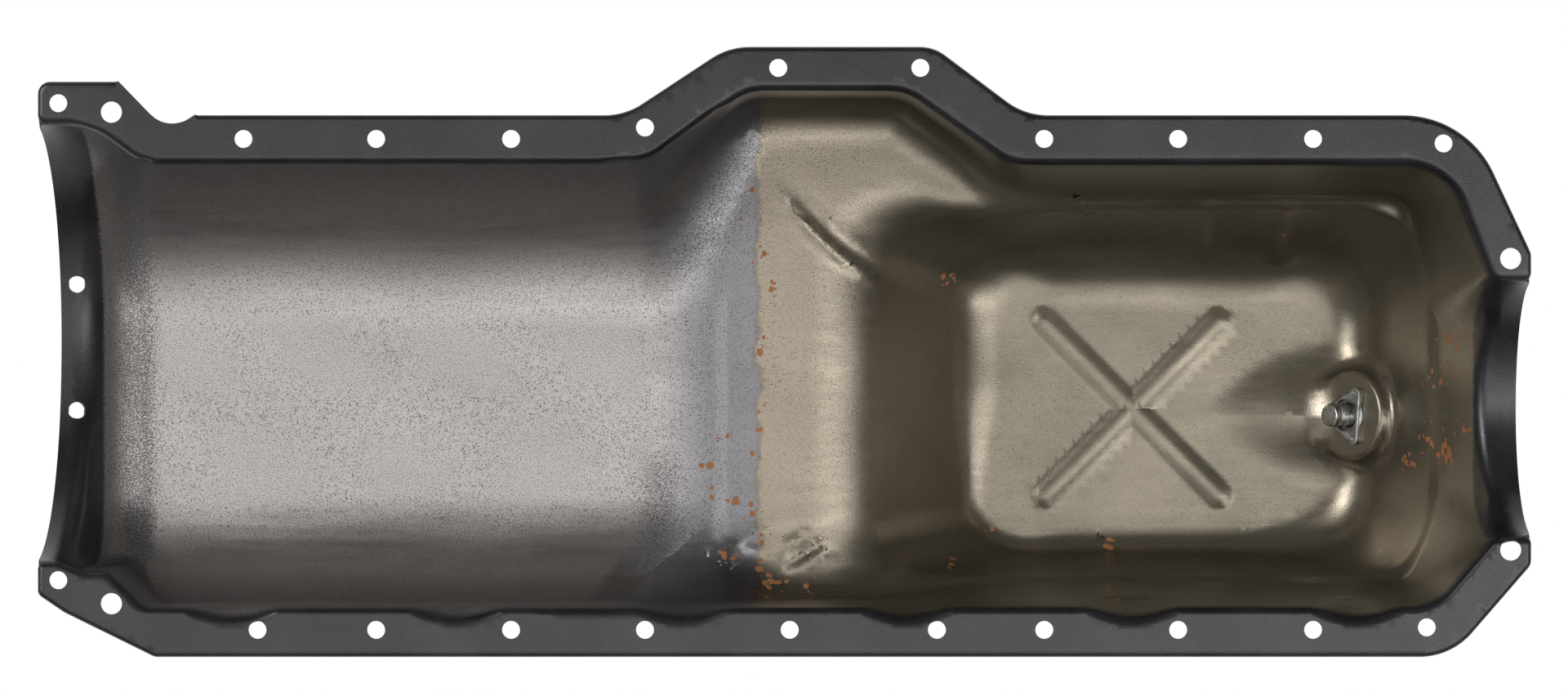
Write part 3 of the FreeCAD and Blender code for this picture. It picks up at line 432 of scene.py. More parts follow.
def sheet_distance(x, y, z):
    """Distance into the sheet from its upper face: below zero in the air."""
    outline = np.where(without_lip(x, y), -FAR, flange_edge(x, y))
    above = round_either(-z, -outline, LIP_BEND)
    air = scalloped(basin(x, y, z), x, y, z)
    air = drain_forms(air, x, y, z)
    air = beaded(air, x, y, z)
    air = wrinkled(air, x, y, z)
    return round_either(air, above, OPENING_BEND)


def outward(points):
    """Unit normal from the air into the sheet, and the distance, at each point."""
    step = 0.05
    x, y, z = points.T
    here = sheet_distance(x, y, z)
    slope = np.stack([
        sheet_distance(x + step, y, z) - sheet_distance(x - step, y, z),
        sheet_distance(x, y + step, z) - sheet_distance(x, y - step, z),
        sheet_distance(x, y, z + step) - sheet_distance(x, y, z - step),
    ], axis=1) / (2 * step)
    length = np.maximum(np.linalg.norm(slope, axis=1), 0.2)
    return slope / length[:, None], here / length


def settled(points, rounds=3):
    """Points moved along the normal onto the sheet's upper face."""
    for _ in range(rounds):
        normal, away = outward(points)
        points = points - normal * np.clip(away, -3, 3)[:, None]
    return points


# %% [markdown]
# The distance becomes a mesh in the way of a surface net: space is cut into small cubes, each cube that the
# surface passes through gets one vertex, and neighbouring cubes are joined by faces. The vertices are then
# drawn onto the surface exactly, so the coarse cubes leave no steps.

# %% Net over the surface
CELL = 4.6
NET_LOW = np.array([-402.0, -141.0, -188.0])
NET_HIGH = np.array([344.0, 173.0, 5.0])


def surface_net():
    """Vertices and triangles of a net over the sheet's upper face."""
    axes = [np.arange(start, end + CELL, CELL) for start, end in zip(NET_LOW, NET_HIGH)]
    x, y, z = np.meshgrid(*axes, indexing="ij", sparse=True)
    field = sheet_distance(x, y, z)
    outside = np.broadcast_to(flange_edge(x, y) > -2.5, field.shape) & ~without_lip(x, y)
    field = np.where(outside & (z < -9.0), 1.0, field)
    inside = field < 0
    corners = [(i, j, k) for i in (0, 1) for j in (0, 1) for k in (0, 1)]
    size = tuple(n - 1 for n in field.shape)

    def shifted(array, corner):
        return array[tuple(slice(c, c + n) for c, n in zip(corner, size))]

    total = np.zeros(size + (3,))
    count = np.zeros(size)
    for first in corners:
        for axis in range(3):
            if first[axis]:
                continue
            second = tuple(1 if i == axis else c for i, c in enumerate(first))
            a = shifted(field, first)
            b = shifted(field, second)
            crossing = (a < 0) != (b < 0)
            share = np.where(crossing, a / np.where(crossing, a - b, 1), 0)
            for i in range(3):
                total[..., i] += np.where(crossing, first[i] + (share if i == axis else 0), 0)
            count += crossing
    used = count > 0
    number = np.full(size, -1)
    number[used] = np.arange(used.sum())
    place = total[used] / count[used][:, None] + np.argwhere(used)
    vertices = place * CELL + NET_LOW
    quads = []
    for axis in range(3):
        other = [i for i in range(3) if i != axis]
        ahead = np.take(inside, range(1, inside.shape[axis]), axis)
        here = np.take(inside, range(inside.shape[axis] - 1), axis)
        edges = np.argwhere(ahead != here)
        rising = here[tuple(edges.T)]
        keep = np.all((edges[:, other] > 0) & (edges[:, other] < np.array(size)[other]), axis=1)
        edges, rising = edges[keep], rising[keep]
        ring = []
        for u, v in ((-1, -1), (0, -1), (0, 0), (-1, 0)):
            cell = edges.copy()
            cell[:, other[0]] += u
            cell[:, other[1]] += v
            ring.append(number[tuple(cell.T)])
        ring = np.stack(ring, axis=1)
        flip = rising == (axis == 1)
        ring[flip] = ring[flip][:, ::-1]
        quads.append(ring)
    quads = np.concatenate(quads)
    return vertices, np.concatenate([quads[:, [0, 1, 2]], quads[:, [0, 2, 3]]])


# %% [markdown]
# A press shears the blank's edge and punches its holes, and the next cells do the same to the net. Triangles
# near a bend, a hole or the edge are halved until they are small enough. Then each cutting line splits the
# triangles that it crosses, and what lies past it falls away.

# %% Cutting lines
CUT_SLACK = 0.04
SADDLE_HOLE_X = -387.2
SADDLE_HOLE_ANGLES = (-15.9, 18.2)
SADDLE_HOLE_RADIUS = 4.45
SADDLE_HOLE_FLAT = 4.1
DRAIN_HOLE_RADIUS = 11.1


def edge_cut(points):
    """Room left to the cut edge of the flange and to the foot of the lip."""
    x, y, z = points.T
    outline = flange_edge(x, y)
    lipped = (outline > -3) & ~without_lip(x, y) & (z < -1.0)
    return CUT_SLACK - outline, np.where(lipped, z + LIP_DROP, FAR)


def hole_cut(points):
    """Room left to the nearest bolt hole, saddle hole or the drain hole."""
    x, y, z = points.T
    room = np.full(len(points), FAR)
    flat = z > -3
    for hole_x, hole_y, radius in BOLT_HOLES:
        room = np.where(flat, np.minimum(room, np.hypot(x - hole_x, y - hole_y) - radius), room)
    for degrees in SADDLE_HOLE_ANGLES:
        angle = math.radians(degrees)
        down_y, down_z = math.sin(-angle), -math.cos(angle)
        along = (y - CRANK_Y) * down_y + (z - CRANK_Z) * down_z
        sideways = (y - CRANK_Y) * down_z - (z - CRANK_Z) * down_y
        off = x - SADDLE_HOLE_X
        hole = np.maximum(np.hypot(off, sideways) - SADDLE_HOLE_RADIUS, np.abs(off) - SADDLE_HOLE_FLAT)
        room = np.where(along > 60, np.minimum(room, hole), room)
    out = (points - DRAIN) @ DRAIN_OUT
    across = np.sqrt(np.maximum(np.sum((points - DRAIN) ** 2, axis=1) - out ** 2, 0))
    return np.where(np.abs(out) < 6, np.minimum(room, across - DRAIN_HOLE_RADIUS), room)


CUTS = [lambda points: edge_cut(points)[0], lambda points: edge_cut(points)[1], hole_cut]

# %% Splitting triangles


def edges_of(triangles):
    """The net's edges as sorted pairs, and the number of each triangle's three edges."""
    pairs = np.concatenate([triangles[:, [0, 1]], triangles[:, [1, 2]], triangles[:, [2, 0]]])
    edges, number = np.unique(np.sort(pairs, axis=1), axis=0, return_inverse=True)
    return edges, number.reshape(3, -1).T


def split(triangles, numbers, middle):
    """Triangles cut at the edges that have a middle vertex, where middle is -1 on the others."""
    marks = middle[numbers]
    pieces = []
    for first in range(3):
        order = [first, (first + 1) % 3, (first + 2) % 3]
        a, b, c = triangles[:, order].T
        ab, bc, ca = marks[:, order].T
        one = (ab >= 0) & (bc < 0) & (ca < 0)
        two = (ab >= 0) & (bc >= 0) & (ca < 0)
        pieces += [np.stack(new, axis=1)[one] for new in ((a, ab, c), (ab, b, c))]
        pieces += [np.stack(new, axis=1)[two] for new in ((ab, b, bc), (a, ab, bc), (a, bc, c))]
    a, b, c = triangles.T
    ab, bc, ca = marks.T
    every = (marks >= 0).all(axis=1)
    pieces += [np.stack(new, axis=1)[every] for new in ((a, ab, ca), (ab, b, bc), (ca, bc, c), (ab, bc, ca))]
    return np.concatenate([triangles[(marks < 0).all(axis=1)]] + pieces)


# Edges longer than these, in mm, are halved: in a bend, off the true surface, by a hole and by the rim.
LONGEST_IN_BEND = 1.5
LONGEST_OFF = 1.3
LONGEST_BY_HOLE = 1.7
LONGEST_BY_RIM = 3.4
BEND_DEGREES = 20
OFF_BY = 0.13
HALVINGS = 5


def refined(vertices, triangles):
    """The net, halved where it bends and near the cutting lines."""
    for _ in range(HALVINGS):
        edges, numbers = edges_of(triangles)
        normal, _ = outward(vertices)
        start, end = vertices[edges[:, 0]], vertices[edges[:, 1]]
        length = np.linalg.norm(end - start, axis=1)
        cosine = np.sum(normal[edges[:, 0]] * normal[edges[:, 1]], axis=1)
        bend = np.degrees(np.arccos(np.clip(cosine, -1, 1)))
        half = (start + end) / 2
        close = np.abs(hole_cut(half)) < 0.6 * length
        rim = np.minimum(np.abs(CUTS[0](half)), np.abs(CUTS[1](half))) < 0.6 * length
        off = np.abs(sheet_distance(*half.T)) > OFF_BY
        long = (bend > BEND_DEGREES) & (length > LONGEST_IN_BEND) | off & (length > LONGEST_OFF)
        long |= close & (length > LONGEST_BY_HOLE) | rim & (length > LONGEST_BY_RIM)
        middle = np.full(len(edges), -1)
        middle[long] = len(vertices) + np.arange(long.sum())
        vertices = np.concatenate([vertices, settled(half[long], 2)])
        triangles = split(triangles, numbers, middle)
    return vertices, triangles


# %% Cutting along a line


def on_line(points, room_to):
    """Points drawn onto the surface and onto a cutting line at once."""
    step = 0.02
    for _ in range(4):
        normal, away = outward(points)
        points = points - normal * np.clip(away, -1, 1)[:, None]
        slope = np.stack([(room_to(points + shift) - room_to(points - shift)) / (2 * step)
                          for shift in np.eye(3) * step], axis=1)
        slope -= normal * np.sum(slope * normal, axis=1)[:, None]
        strength = np.maximum(np.sum(slope * slope, axis=1), 0.05)
        points = points - slope * (np.clip(room_to(points), -1, 1) / strength)[:, None]
    return points


def trimmed(vertices, triangles, room_to):
    """The net cut along one line, without what lies past it."""
    room = room_to(vertices)
    edges, numbers = edges_of(triangles)
    length = np.linalg.norm(vertices[edges[:, 0]] - vertices[edges[:, 1]], axis=1)
    shortest = np.full(len(vertices), np.inf)
    np.minimum.at(shortest, edges[:, 0], length)
    np.minimum.at(shortest, edges[:, 1], length)
    near = np.abs(room) < 0.3 * shortest
    vertices = vertices.copy()
    vertices[near] = on_line(vertices[near], room_to)
    room[near] = 0
    a, b = room[edges[:, 0]], room[edges[:, 1]]
    crossing = a * b < 0
    share = (a[crossing] / (a[crossing] - b[crossing]))[:, None]
    fresh = vertices[edges[crossing, 0]] * (1 - share) + vertices[edges[crossing, 1]] * share
    middle = np.full(len(edges), -1)
    middle[crossing] = len(vertices) + np.arange(crossing.sum())
    vertices = np.concatenate([vertices, on_line(fresh, room_to)])
    room = np.concatenate([room, np.zeros(crossing.sum())])
    triangles = split(triangles, numbers, middle)
    triangles = triangles[(room[triangles] >= 0).all(axis=1) & (room[triangles] > 0).any(axis=1)]
    return vertices, triangles


def compact(vertices, triangles):
    """The net without unused vertices."""
    used, numbers = np.unique(triangles, return_inverse=True)
    return vertices[used], numbers.reshape(-1, 3)


# %% Press the pan
vertices, triangles = surface_net()
vertices = settled(vertices, 4)
WASTE = -7.0
worth_keeping = np.min([cut(vertices) for cut in CUTS], axis=0) > WASTE
triangles = triangles[worth_keeping[triangles].any(axis=1)]
vertices, triangles = compact(vertices, triangles)
print("net", len(vertices), "vertices")
vertices, triangles = compact(*refined(vertices, triangles))
for cut in CUTS:
    vertices, triangles = compact(*trimmed(vertices, triangles, cut))
print("pressed", len(vertices), "vertices", len(triangles), "triangles")

# %% [markdown]
# The net is the sheet's upper face. A copy of it, set off by the sheet's thickness, is the lower face, and a
# strip of faces along every cut edge closes the two. The normals come from the distance itself, so a bend
# shades as smoothly as the real pressing however large its triangles are, and only the cut edges stay crisp.

# %% Both faces of the sheet
INSIDE_SLOT = 0
OUTSIDE_SLOT = 1


def sheet_mesh(name, vertices, triangles):
    """Closed mesh of the sheet from its upper face, with exact normals."""
    normal, _ = outward(vertices)
    count = len(vertices)
    top = triangles[:, ::-1]
    under = triangles + count
    edges, numbers = edges_of(triangles)
    open_edge = np.bincount(numbers.ravel()) == 1
    directed = np.concatenate([triangles[:, [0, 1]], triangles[:, [1, 2]], triangles[:, [2, 0]]])
    rim = directed[open_edge[numbers.T.ravel()]]
    strip = np.stack([rim[:, 0], rim[:, 1], rim[:, 1] + count, rim[:, 0] + count], axis=1)
    strip = np.concatenate([strip[:, [0, 1, 2]], strip[:, [0, 2, 3]]])
    faces = np.concatenate([top, under, strip])
    places = np.concatenate([vertices, vertices + normal * SHEET]) * MM
    mesh = bpy.data.meshes.new(name)
    mesh.from_pydata(places.tolist(), [], faces.tolist())
    slots = np.full(len(faces), OUTSIDE_SLOT, np.int32)
    slots[:len(top)] = INSIDE_SLOT
    mesh.polygons.foreach_set("material_index", slots)
    mesh.update()
    corners = places[faces]
    flat = np.cross(corners[:, 1] - corners[:, 0], corners[:, 2] - corners[:, 0])
    flat /= np.maximum(np.linalg.norm(flat, axis=1), 1e-12)[:, None]
    shading = np.repeat(flat[:, None, :], 3, axis=1)
    shading[:len(top)] = -normal[top]
    shading[len(top):len(top) + len(under)] = normal[triangles]
    mesh.normals_split_custom_set(shading.reshape(-1, 3))
    return mesh


pressing_mesh = sheet_mesh("pan_pressing", vertices, triangles)
pan_pressing = placed("pan_pressing", pressing_mesh)
print("pan_pressing", len(pressing_mesh.polygons), "triangles")

# %% [markdown]
# Where the black paint ends, where oil has stained the steel and where rust has started are facts of the
# part, so they are stored on the mesh as attributes, worked out from each vertex's place. The speck density
# is stored the same way, and it also holds painted shade: it is raised on the upper and the steep walls. The
# material reads them and adds the fine grain that a mesh can't hold.

# %% Paint, speck density with painted shade, oil and rust on the vertices
# Each patch: x, y, how far it reaches and how thick the rust is.
RUST_PATCHES = [
    (-45, 99, 3, 1), (-50.6, 80.7, 2, 0.8), (-42.8, 66.8, 4.5, 1), (-37.6, 48.2, 3.5, 1),
    (-36.8, 42.8, 2.5, 0.8), (-40.9, 25.4, 3, 0.9), (-41.5, 15.8, 4, 1), (-40.5, 4, 3, 0.6),
    (-41.5, -12, 3.5, 0.8), (-42.5, -24, 3, 0.8), (-44, -36, 3.5, 0.8), (-60, -29.4, 3.5, 1),
    (-68.9, -41.5, 5.5, 1), (-68.9, -55.6, 4, 1), (-55.9, -58.9, 3.5, 1), (-45.1, -63.1, 3.5, 0.9),
    (-45.9, -68.9, 3, 0.9), (-38.4, -79.3, 4, 1), (-58.4, -88.5, 4.5, 1), (-41.4, -93.9, 3.5, 1),
    (-38, -103, 6, 0.9), (-28, -100.9, 5, 0.9), (-18, -103, 5, 0.8), (55.3, 54.8, 4.5, 1),
    (140.3, -85.3, 4, 1), (134, -106.5, 5, 0.9), (55.8, -92.9, 3.5, 0.9), (78.4, -74.6, 3, 0.8),
    (226, 77, 3, 0.7), (308, 20, 6, 0.9), (319.5, 1.6, 6, 0.9), (300, -27, 6, 0.9),
    (306, -35, 7, 1), (291, -40.5, 5, 0.9), (314.7, -23, 6, 0.9), (303, 4, 12, 0.55),
]


def store(mesh, name, values):
    """Number on each vertex of a mesh: the upper face's values, and the same under them."""
    attribute = mesh.attributes.new(name, "FLOAT", "POINT")
    attribute.data.foreach_set("value", np.tile(values, 2).astype(np.float32))


def finish_maps(points):
    """Coat, speck density with painted shade, oil and rust at each point of the upper face."""
    x, y, z = points.T
    flange = ease(-16.0, -2.0, z)
    front = ease(-371.0, -379.0, x)
    rear = ease(313.0, 319.0, x) * (np.abs(y - REAR_SADDLE_Y) < REAR_SADDLE + 2)
    coat = np.maximum.reduce([flange, front, rear])
    # Upper walls near the flange: partly real overspray, partly painted shade as denser black specks.
    side = ease(-45.0, -8.0, z)
    band = ease(-346.0, -356.0, x) * ease(-371.0, -363.0, x)
    trough = ease(-30.0, -75.0, x)
    step_foot = SHELF_FOOT(x, y) + 16.0
    on_step = np.exp(-(step_foot / 10.0) ** 2) * ease(38, 60, np.abs(y - 10)) * ease(-20, -50, x)
    # Painted shade: steep walls get denser black specks, which darken them as their shade would.
    steep_wall_shade = ease(0.72, 0.30, np.abs(outward(points)[0][:, 2]))
    all_over = ease(120, 30, x)
    specks_and_shade = 0.16 * trough + 0.50 * band + 0.36 * on_step + 0.25 * side + 0.30 * steep_wall_shade + 0.10 * all_over
    specks_and_shade = np.clip(specks_and_shade, 0, 1) * ease(140, 60, x)
    oil = ease(-20.0, 60.0, x)
    rust = np.zeros(len(x))
    for centre_x, centre_y, reach, amount in RUST_PATCHES:
        away = np.hypot(x - centre_x, y - centre_y) / (0.8 * reach + 1.4)
        rust = np.maximum(rust, amount * np.exp(-away ** 2))
    return {"coat": coat, "specks_and_shade": specks_and_shade, "oil": oil, "rust": rust * (1 - coat)}


for map_name, values in finish_maps(vertices).items():
    store(pressing_mesh, map_name, values)
    print(map_name, "mean", round(float(values.mean()), 3))

# %% [markdown]
# Materials are built from nodes by one small helper. Colours are written as a paint chart gives them, in hex,
# and one function turns them into the linear values that Blender works in.

# %% Helpers for materials
SOFT = {"interpolation_type": "SMOOTHSTEP"}
COLOURS = {"data_type": "RGBA"}
PLUS = {"operation": "ADD"}
MINUS = {"operation": "SUBTRACT"}
TIMES = {"operation": "MULTIPLY"}
MOST = {"operation": "MAXIMUM"}


def colour(code):
    """Linear colour of an sRGB hex value."""
    parts = [int(code[i:i + 2], 16) / 255 for i in (1, 3, 5)]
    return tuple(p / 12.92 if p <= 0.04045 else ((p + 0.055) / 1.055) ** 2.4 for p in parts) + (1.0,)


def per(size_mm):
    """Scale at which a pattern's blotches are about size_mm across."""
    return 1 / (size_mm * MM)


def wire(node, *values, **named):
    """The node, with its open inputs fed in turn or by name, each by a value, an output or a whole node."""
    feeds = list(zip([socket for socket in node.inputs if socket.enabled], values))
    feeds += [(node.inputs[name.replace("_", " ")], value) for name, value in named.items()]
    for socket, value in feeds:
        if isinstance(value, bpy.types.Node):
            value = next(output for output in value.outputs if output.enabled)
        if isinstance(value, bpy.types.NodeSocket):
            node.id_data.links.new(value, socket)
        else:
            socket.default_value = value
    return node


def add(tree, kind, settings=None, *values, **named):
    """One new node with its settings and links; a shader node's kind is given without its first word."""
    node = tree.nodes.new(kind if kind.startswith(("Geometry", "NodeGroup")) else "ShaderNode" + kind)
    for name, value in (settings or {}).items():
        setattr(node, name, value)
    return wire(node, *values, **named)


def new_material(name):
    """Empty node material, its surface shader and its object coordinates."""
    material = bpy.data.materials.new(name)
    material.use_nodes = True
    tree = material.node_tree
    return material, tree, tree.nodes["Principled BSDF"], add(tree, "TexCoord").outputs["Object"]


# %% [markdown]
# The outside, the flange and the saddles are sprayed steel: satin black enamel, dried to a fine orange peel.
# It gives the eye a dark grey with a broad soft sheen.

# %% Satin black enamel
ENAMEL_DARK = "#131315"
ENAMEL_LIGHT = "#212124"
ENAMEL_ROUGHNESS = 0.36
PEEL_MM = 1.1


def enamel_colour(tree, place):
    """Black enamel, a little uneven where it was sprayed thinner, with light grey flecks that are partly dust
    and partly painted sheen.
    """
    cloud = add(tree, "TexNoise", None, place, per(38.0), 4.0, 0.6)
    thin = add(tree, "MapRange", SOFT, cloud, 0.35, 0.7)
    base = add(tree, "Mix", COLOURS, thin, colour(ENAMEL_DARK), colour(ENAMEL_LIGHT))
    # Light grey flecks: partly dust, partly painted sheen that lifts the black towards its lit look.
    grain = add(tree, "TexNoise", None, place, per(0.9), 1.0)
    dust_and_sheen = add(tree, "MapRange", SOFT, grain, 0.62, 0.76, 0.0, 0.30)
    return add(tree, "Mix", COLOURS, dust_and_sheen, base, colour("#4A4A4E"))


def enamel():
    """Satin black enamel for the outside and every cut edge."""
    material, tree, shader, place = new_material("satin_black_enamel_sprayed")
    blotches = add(tree, "TexNoise", None, place, per(9.0), 6.0, 0.7)
    scuffs = add(tree, "MapRange", SOFT, blotches, 0.55, 0.75)
    rough = add(tree, "MapRange", SOFT, scuffs, 0.0, 1.0, ENAMEL_ROUGHNESS, ENAMEL_ROUGHNESS + 0.12)
    peel = add(tree, "TexNoise", None, place, per(PEEL_MM), 2.0)
    bump = add(tree, "Bump", Strength=0.25, Distance=0.0003, Height=peel)
    wire(shader, Base_Color=enamel_colour(tree, place), Roughness=rough, Normal=bump)
    return material


# %% [markdown]
# Inside, the steel is as the press left it: a dull grey metal with faint draw lines. The trough is peppered
# with overspray, the shelf is clean, and the sump wears a brown film of dried oil. One material holds all of
# it, steered by the maps on the mesh.

# %% Bare pressed steel
STEEL_TROUGH = "#A29E9B"
STEEL_SHELF = "#7A797B"
STEEL_STAINED = "#918879"
STEEL_SUMP = "#7D7567"
OIL_DARK = "#6D6759"
RUST_LIGHT = "#A3683A"
RUST_DARK = "#744C2E"
SPECK_MM = 0.62
RUST_SPOT_MM = 4.6
RAGGED_MM = 2.2
STAIN_LINE_X = -43.0 * MM


def stained_steel(tree, place, oil):
    """Colour of the bare steel: trough, shelf, tan shelf past the stain line, and oily sump."""
    along = add(tree, "SeparateXYZ", None, place)
    blotches = add(tree, "TexNoise", None, place, per(16.0), 5.0, 0.65)
    wander = add(tree, "Math", TIMES, add(tree, "Math", MINUS, blotches, 0.5), 0.014)
    across = add(tree, "Math", PLUS, along, wander)
    past_line = add(tree, "MapRange", SOFT, across, STAIN_LINE_X - 0.0008, STAIN_LINE_X + 0.0008)
    on_shelf = add(tree, "MapRange", SOFT, along, -0.115, -0.060)
    base = add(tree, "Mix", COLOURS, on_shelf, colour(STEEL_TROUGH), colour(STEEL_SHELF))
    base = add(tree, "Mix", COLOURS, past_line, base, colour(STEEL_STAINED))
    cloud = add(tree, "TexNoise", None, place, per(45.0), 4.0, 0.6)
    thick = add(tree, "MapRange", SOFT, cloud, 0.3, 0.75)
    film = add(tree, "Mix", COLOURS, thick, colour(STEEL_SUMP), colour(OIL_DARK))
    base = add(tree, "Mix", COLOURS, oil, base, film)
    before = add(tree, "MapRange", SOFT, across, STAIN_LINE_X - 0.003, STAIN_LINE_X)
    after = add(tree, "MapRange", SOFT, across, STAIN_LINE_X, STAIN_LINE_X + 0.002, 1.0, 0.0)
    edge = add(tree, "Math", TIMES, before, after)
    return add(tree, "Mix", COLOURS, add(tree, "Math", TIMES, edge, 0.35), base, colour("#6B5A45"))


def pressed_steel():
    """The upper face: bare steel with overspray flecks and painted shade, oil and rust, and black enamel on
    the flange and saddles.
    """
    material, tree, shader, place = new_material("cold_drawn_steel_with_overspray")
    maps = [add(tree, "Attribute", {"attribute_name": name}) for name in ("coat", "specks_and_shade", "oil", "rust")]
    painted, specks_and_shade, oil, rusting = [node.outputs["Fac"] for node in maps]
    grain = add(tree, "TexNoise", None, place, per(SPECK_MM), 1.5, 0.6)
    # The speck density read here also holds painted shade: more black specks on the upper and steep walls.
    density = add(tree, "Math", PLUS, grain, add(tree, "Math", TIMES, specks_and_shade, 0.30))
    speck = add(tree, "MapRange", SOFT, density, 0.60, 0.74)
    fine = add(tree, "TexNoise", None, place, per(0.7), 2.0)
    dull = add(tree, "MapRange", SOFT, fine, 0.35, 0.7, 0.0, 0.16)
    steel = add(tree, "Mix", COLOURS, dull, stained_steel(tree, place, oil), colour("#5F5B57"))
    drift = add(tree, "TexNoise", None, place, per(2.4), 2.0).outputs["Color"]
    ragged = add(tree, "VectorMath", {"operation": "MULTIPLY_ADD"}, drift, (RAGGED_MM * MM,) * 3, place)
    spots = add(tree, "TexVoronoi", None, ragged, per(RUST_SPOT_MM))
    worn = add(tree, "Math", MINUS, add(tree, "Math", TIMES, rusting, 0.62), spots)
    rust = add(tree, "MapRange", SOFT, worn, -0.02, 0.07)
    tone = add(tree, "TexNoise", None, place, per(1.4), 2.0)
    rust_colour = add(tree, "Mix", COLOURS, tone, colour(RUST_DARK), colour(RUST_LIGHT))
    uneven = add(tree, "Math", PLUS, add(tree, "Math", MINUS, grain, 0.5), painted)
    coat = add(tree, "MapRange", SOFT, uneven, 0.30, 0.52)
    black = add(tree, "Math", MOST, coat, add(tree, "Math", TIMES, speck, 0.85))
    surface = add(tree, "Mix", COLOURS, black, steel, enamel_colour(tree, place))
    rusted = add(tree, "Math", TIMES, rust, add(tree, "Math", MINUS, 1.0, coat))
    surface = add(tree, "Mix", COLOURS, rusted, surface, rust_colour)
    not_black = add(tree, "Math", MINUS, 1.0, black)
    bare = add(tree, "Math", TIMES, not_black, add(tree, "Math", MINUS, 1.0, rusted))
    metal = add(tree, "Math", TIMES, bare, add(tree, "Mix", None, oil, 1.0, 0.80))
    streak_place = add(tree, "Mapping", None, place, Scale=(0.12, 1.0, 1.0))
    streaks = add(tree, "TexNoise", None, streak_place, per(5.0), 4.0, 0.6)
    matt = add(tree, "MapRange", SOFT, streaks, 0.3, 0.7, 0.36, 0.44)
    oily = add(tree, "MapRange", SOFT, streaks, 0.3, 0.7, 0.27, 0.34)
    rough = add(tree, "Mix", None, black, add(tree, "Mix", None, oil, matt, oily), 0.34)
    rough = add(tree, "Mix", None, rusted, rough, 0.85)
    pitted = add(tree, "TexNoise", None, place, per(0.8), 2.0)
    height = add(tree, "Math", PLUS, pitted, add(tree, "Math", TIMES, rusted, 0.8))
    bump = add(tree, "Bump", Strength=0.22, Distance=0.0003, Height=height)
    wire(shader, Base_Color=surface, Metallic=metal, Roughness=rough, Normal=bump)
    return material


pressing_mesh.materials.append(pressed_steel())
pressing_mesh.materials.append(enamel())
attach(pan_pressing, "pan")
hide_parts("pan_shell")

# %% [markdown]
# The small drain parts are zinc plated steel and soft aluminium. The stamped nut and the washer keep the
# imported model's shape: a copy of each is merged into one skin, and its edges are rounded a little, as
# stamping leaves them, so that they catch the light.

# %% Zinc plate and aluminium


def plated(name, light, dark, roughness, grain_mm):
    """Bright metal with soft cloudy patches and fine tool marks."""
    material, tree, shader, place = new_material(name)
    patches = add(tree, "TexNoise", None, place, per(3.0), 4.0, 0.6)
    cloud = add(tree, "MapRange", SOFT, patches, 0.35, 0.7)
    base = add(tree, "Mix", COLOURS, cloud, colour(light), colour(dark))
    marks = add(tree, "TexNoise", None, place, per(grain_mm), 3.0, 0.6)
    rough = add(tree, "MapRange", SOFT, marks, 0.3, 0.7, roughness - 0.06, roughness + 0.10)
    bump = add(tree, "Bump", Strength=0.2, Distance=0.0001, Height=marks)
    wire(shader, Base_Color=base, Metallic=1.0, Roughness=rough, Normal=bump)
    return material


zinc_nut = plated("zinc_plate_on_stamped_steel", "#B9BBB8", "#8D9090", 0.34, 0.6)
zinc_plug = plated("zinc_plate_on_turned_steel", "#C4C5C2", "#9A9B99", 0.27, 0.4)
soft_aluminium = plated("soft_aluminium_punched", "#C2C3C4", "#A7A8AA", 0.38, 0.5)

# %% Stamped nut and washer


def softened(node, name, width_mm, material):
    """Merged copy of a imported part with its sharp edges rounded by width_mm."""
    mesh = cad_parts[node].data.copy()
    mesh.name = name
    mesh.materials.clear()
    shape = bmesh.new()
    shape.from_mesh(mesh)
    bmesh.ops.remove_doubles(shape, verts=shape.verts, dist=0.01 * MM)
    bmesh.ops.dissolve_limit(shape, angle_limit=math.radians(1), verts=shape.verts, edges=shape.edges)
    shape.to_mesh(mesh)
    shape.free()
    piece = placed(name, mesh)
    bevel = piece.modifiers.new("rounded_edges", "BEVEL")
    bevel.width = width_mm * MM
    bevel.segments = 2
    bevel.limit_method = "ANGLE"
    bevel.angle_limit = math.radians(40)
    bevel.use_clamp_overlap = True
    bevel.harden_normals = True
    mesh.materials.append(material)
    mesh.shade_smooth()
    return piece


nut_plate = softened("drain_nut_plate", "nut_plate_stamped", 0.35, zinc_nut)
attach(nut_plate, "pan")
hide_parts("drain_nut_plate")
washer = softened("drain_washer", "washer_ring", 0.25, soft_aluminium)
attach(washer, "washer")
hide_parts("drain_washer")

# %% [markdown]
# The plug is turned from hexagon bar, with a collar under the head, a threaded shank and a plain chamfered
# tip. Its body is a stack of rings about the drain axis, as a lathe would leave them. The thread winds round
# it by a rule, so Geometry Nodes makes it: a spiral curve carries a small triangle along its length.

# %% Plug body
TO_DRAIN = Matrix.Translation(Vector(DRAIN * MM)) @ Matrix.Rotation(math.pi - DRAIN_TILT, 4, "Y")
ROOT_RADIUS = 5.55
TIP_END = -14.5
THREAD_START = -10.2
HEAD_SEAT = 6.5
HEAD_FLATS = 19.0
HEAD_TOP = HEAD_SEAT + 9.0
STEPS = 72
# Rings of the turned part and of the head: radius and height, with the radius as a limit to the hexagon.
TURNED = [
    (4.9, TIP_END), (5.45, TIP_END + 0.25), (5.8, TIP_END + 0.9), (5.85, THREAD_START - 0.5),
    (ROOT_RADIUS, THREAD_START), (ROOT_RADIUS, HEAD_SEAT - 0.3), (5.9, HEAD_SEAT), (11.2, HEAD_SEAT),
    (11.5, HEAD_SEAT + 0.3), (11.5, HEAD_SEAT + 1.6), (11.0, HEAD_SEAT + 2.0),
]
HEAD = [(11.0, HEAD_SEAT + 2.05), (11.0, HEAD_TOP - 0.9), (9.3, HEAD_TOP)]


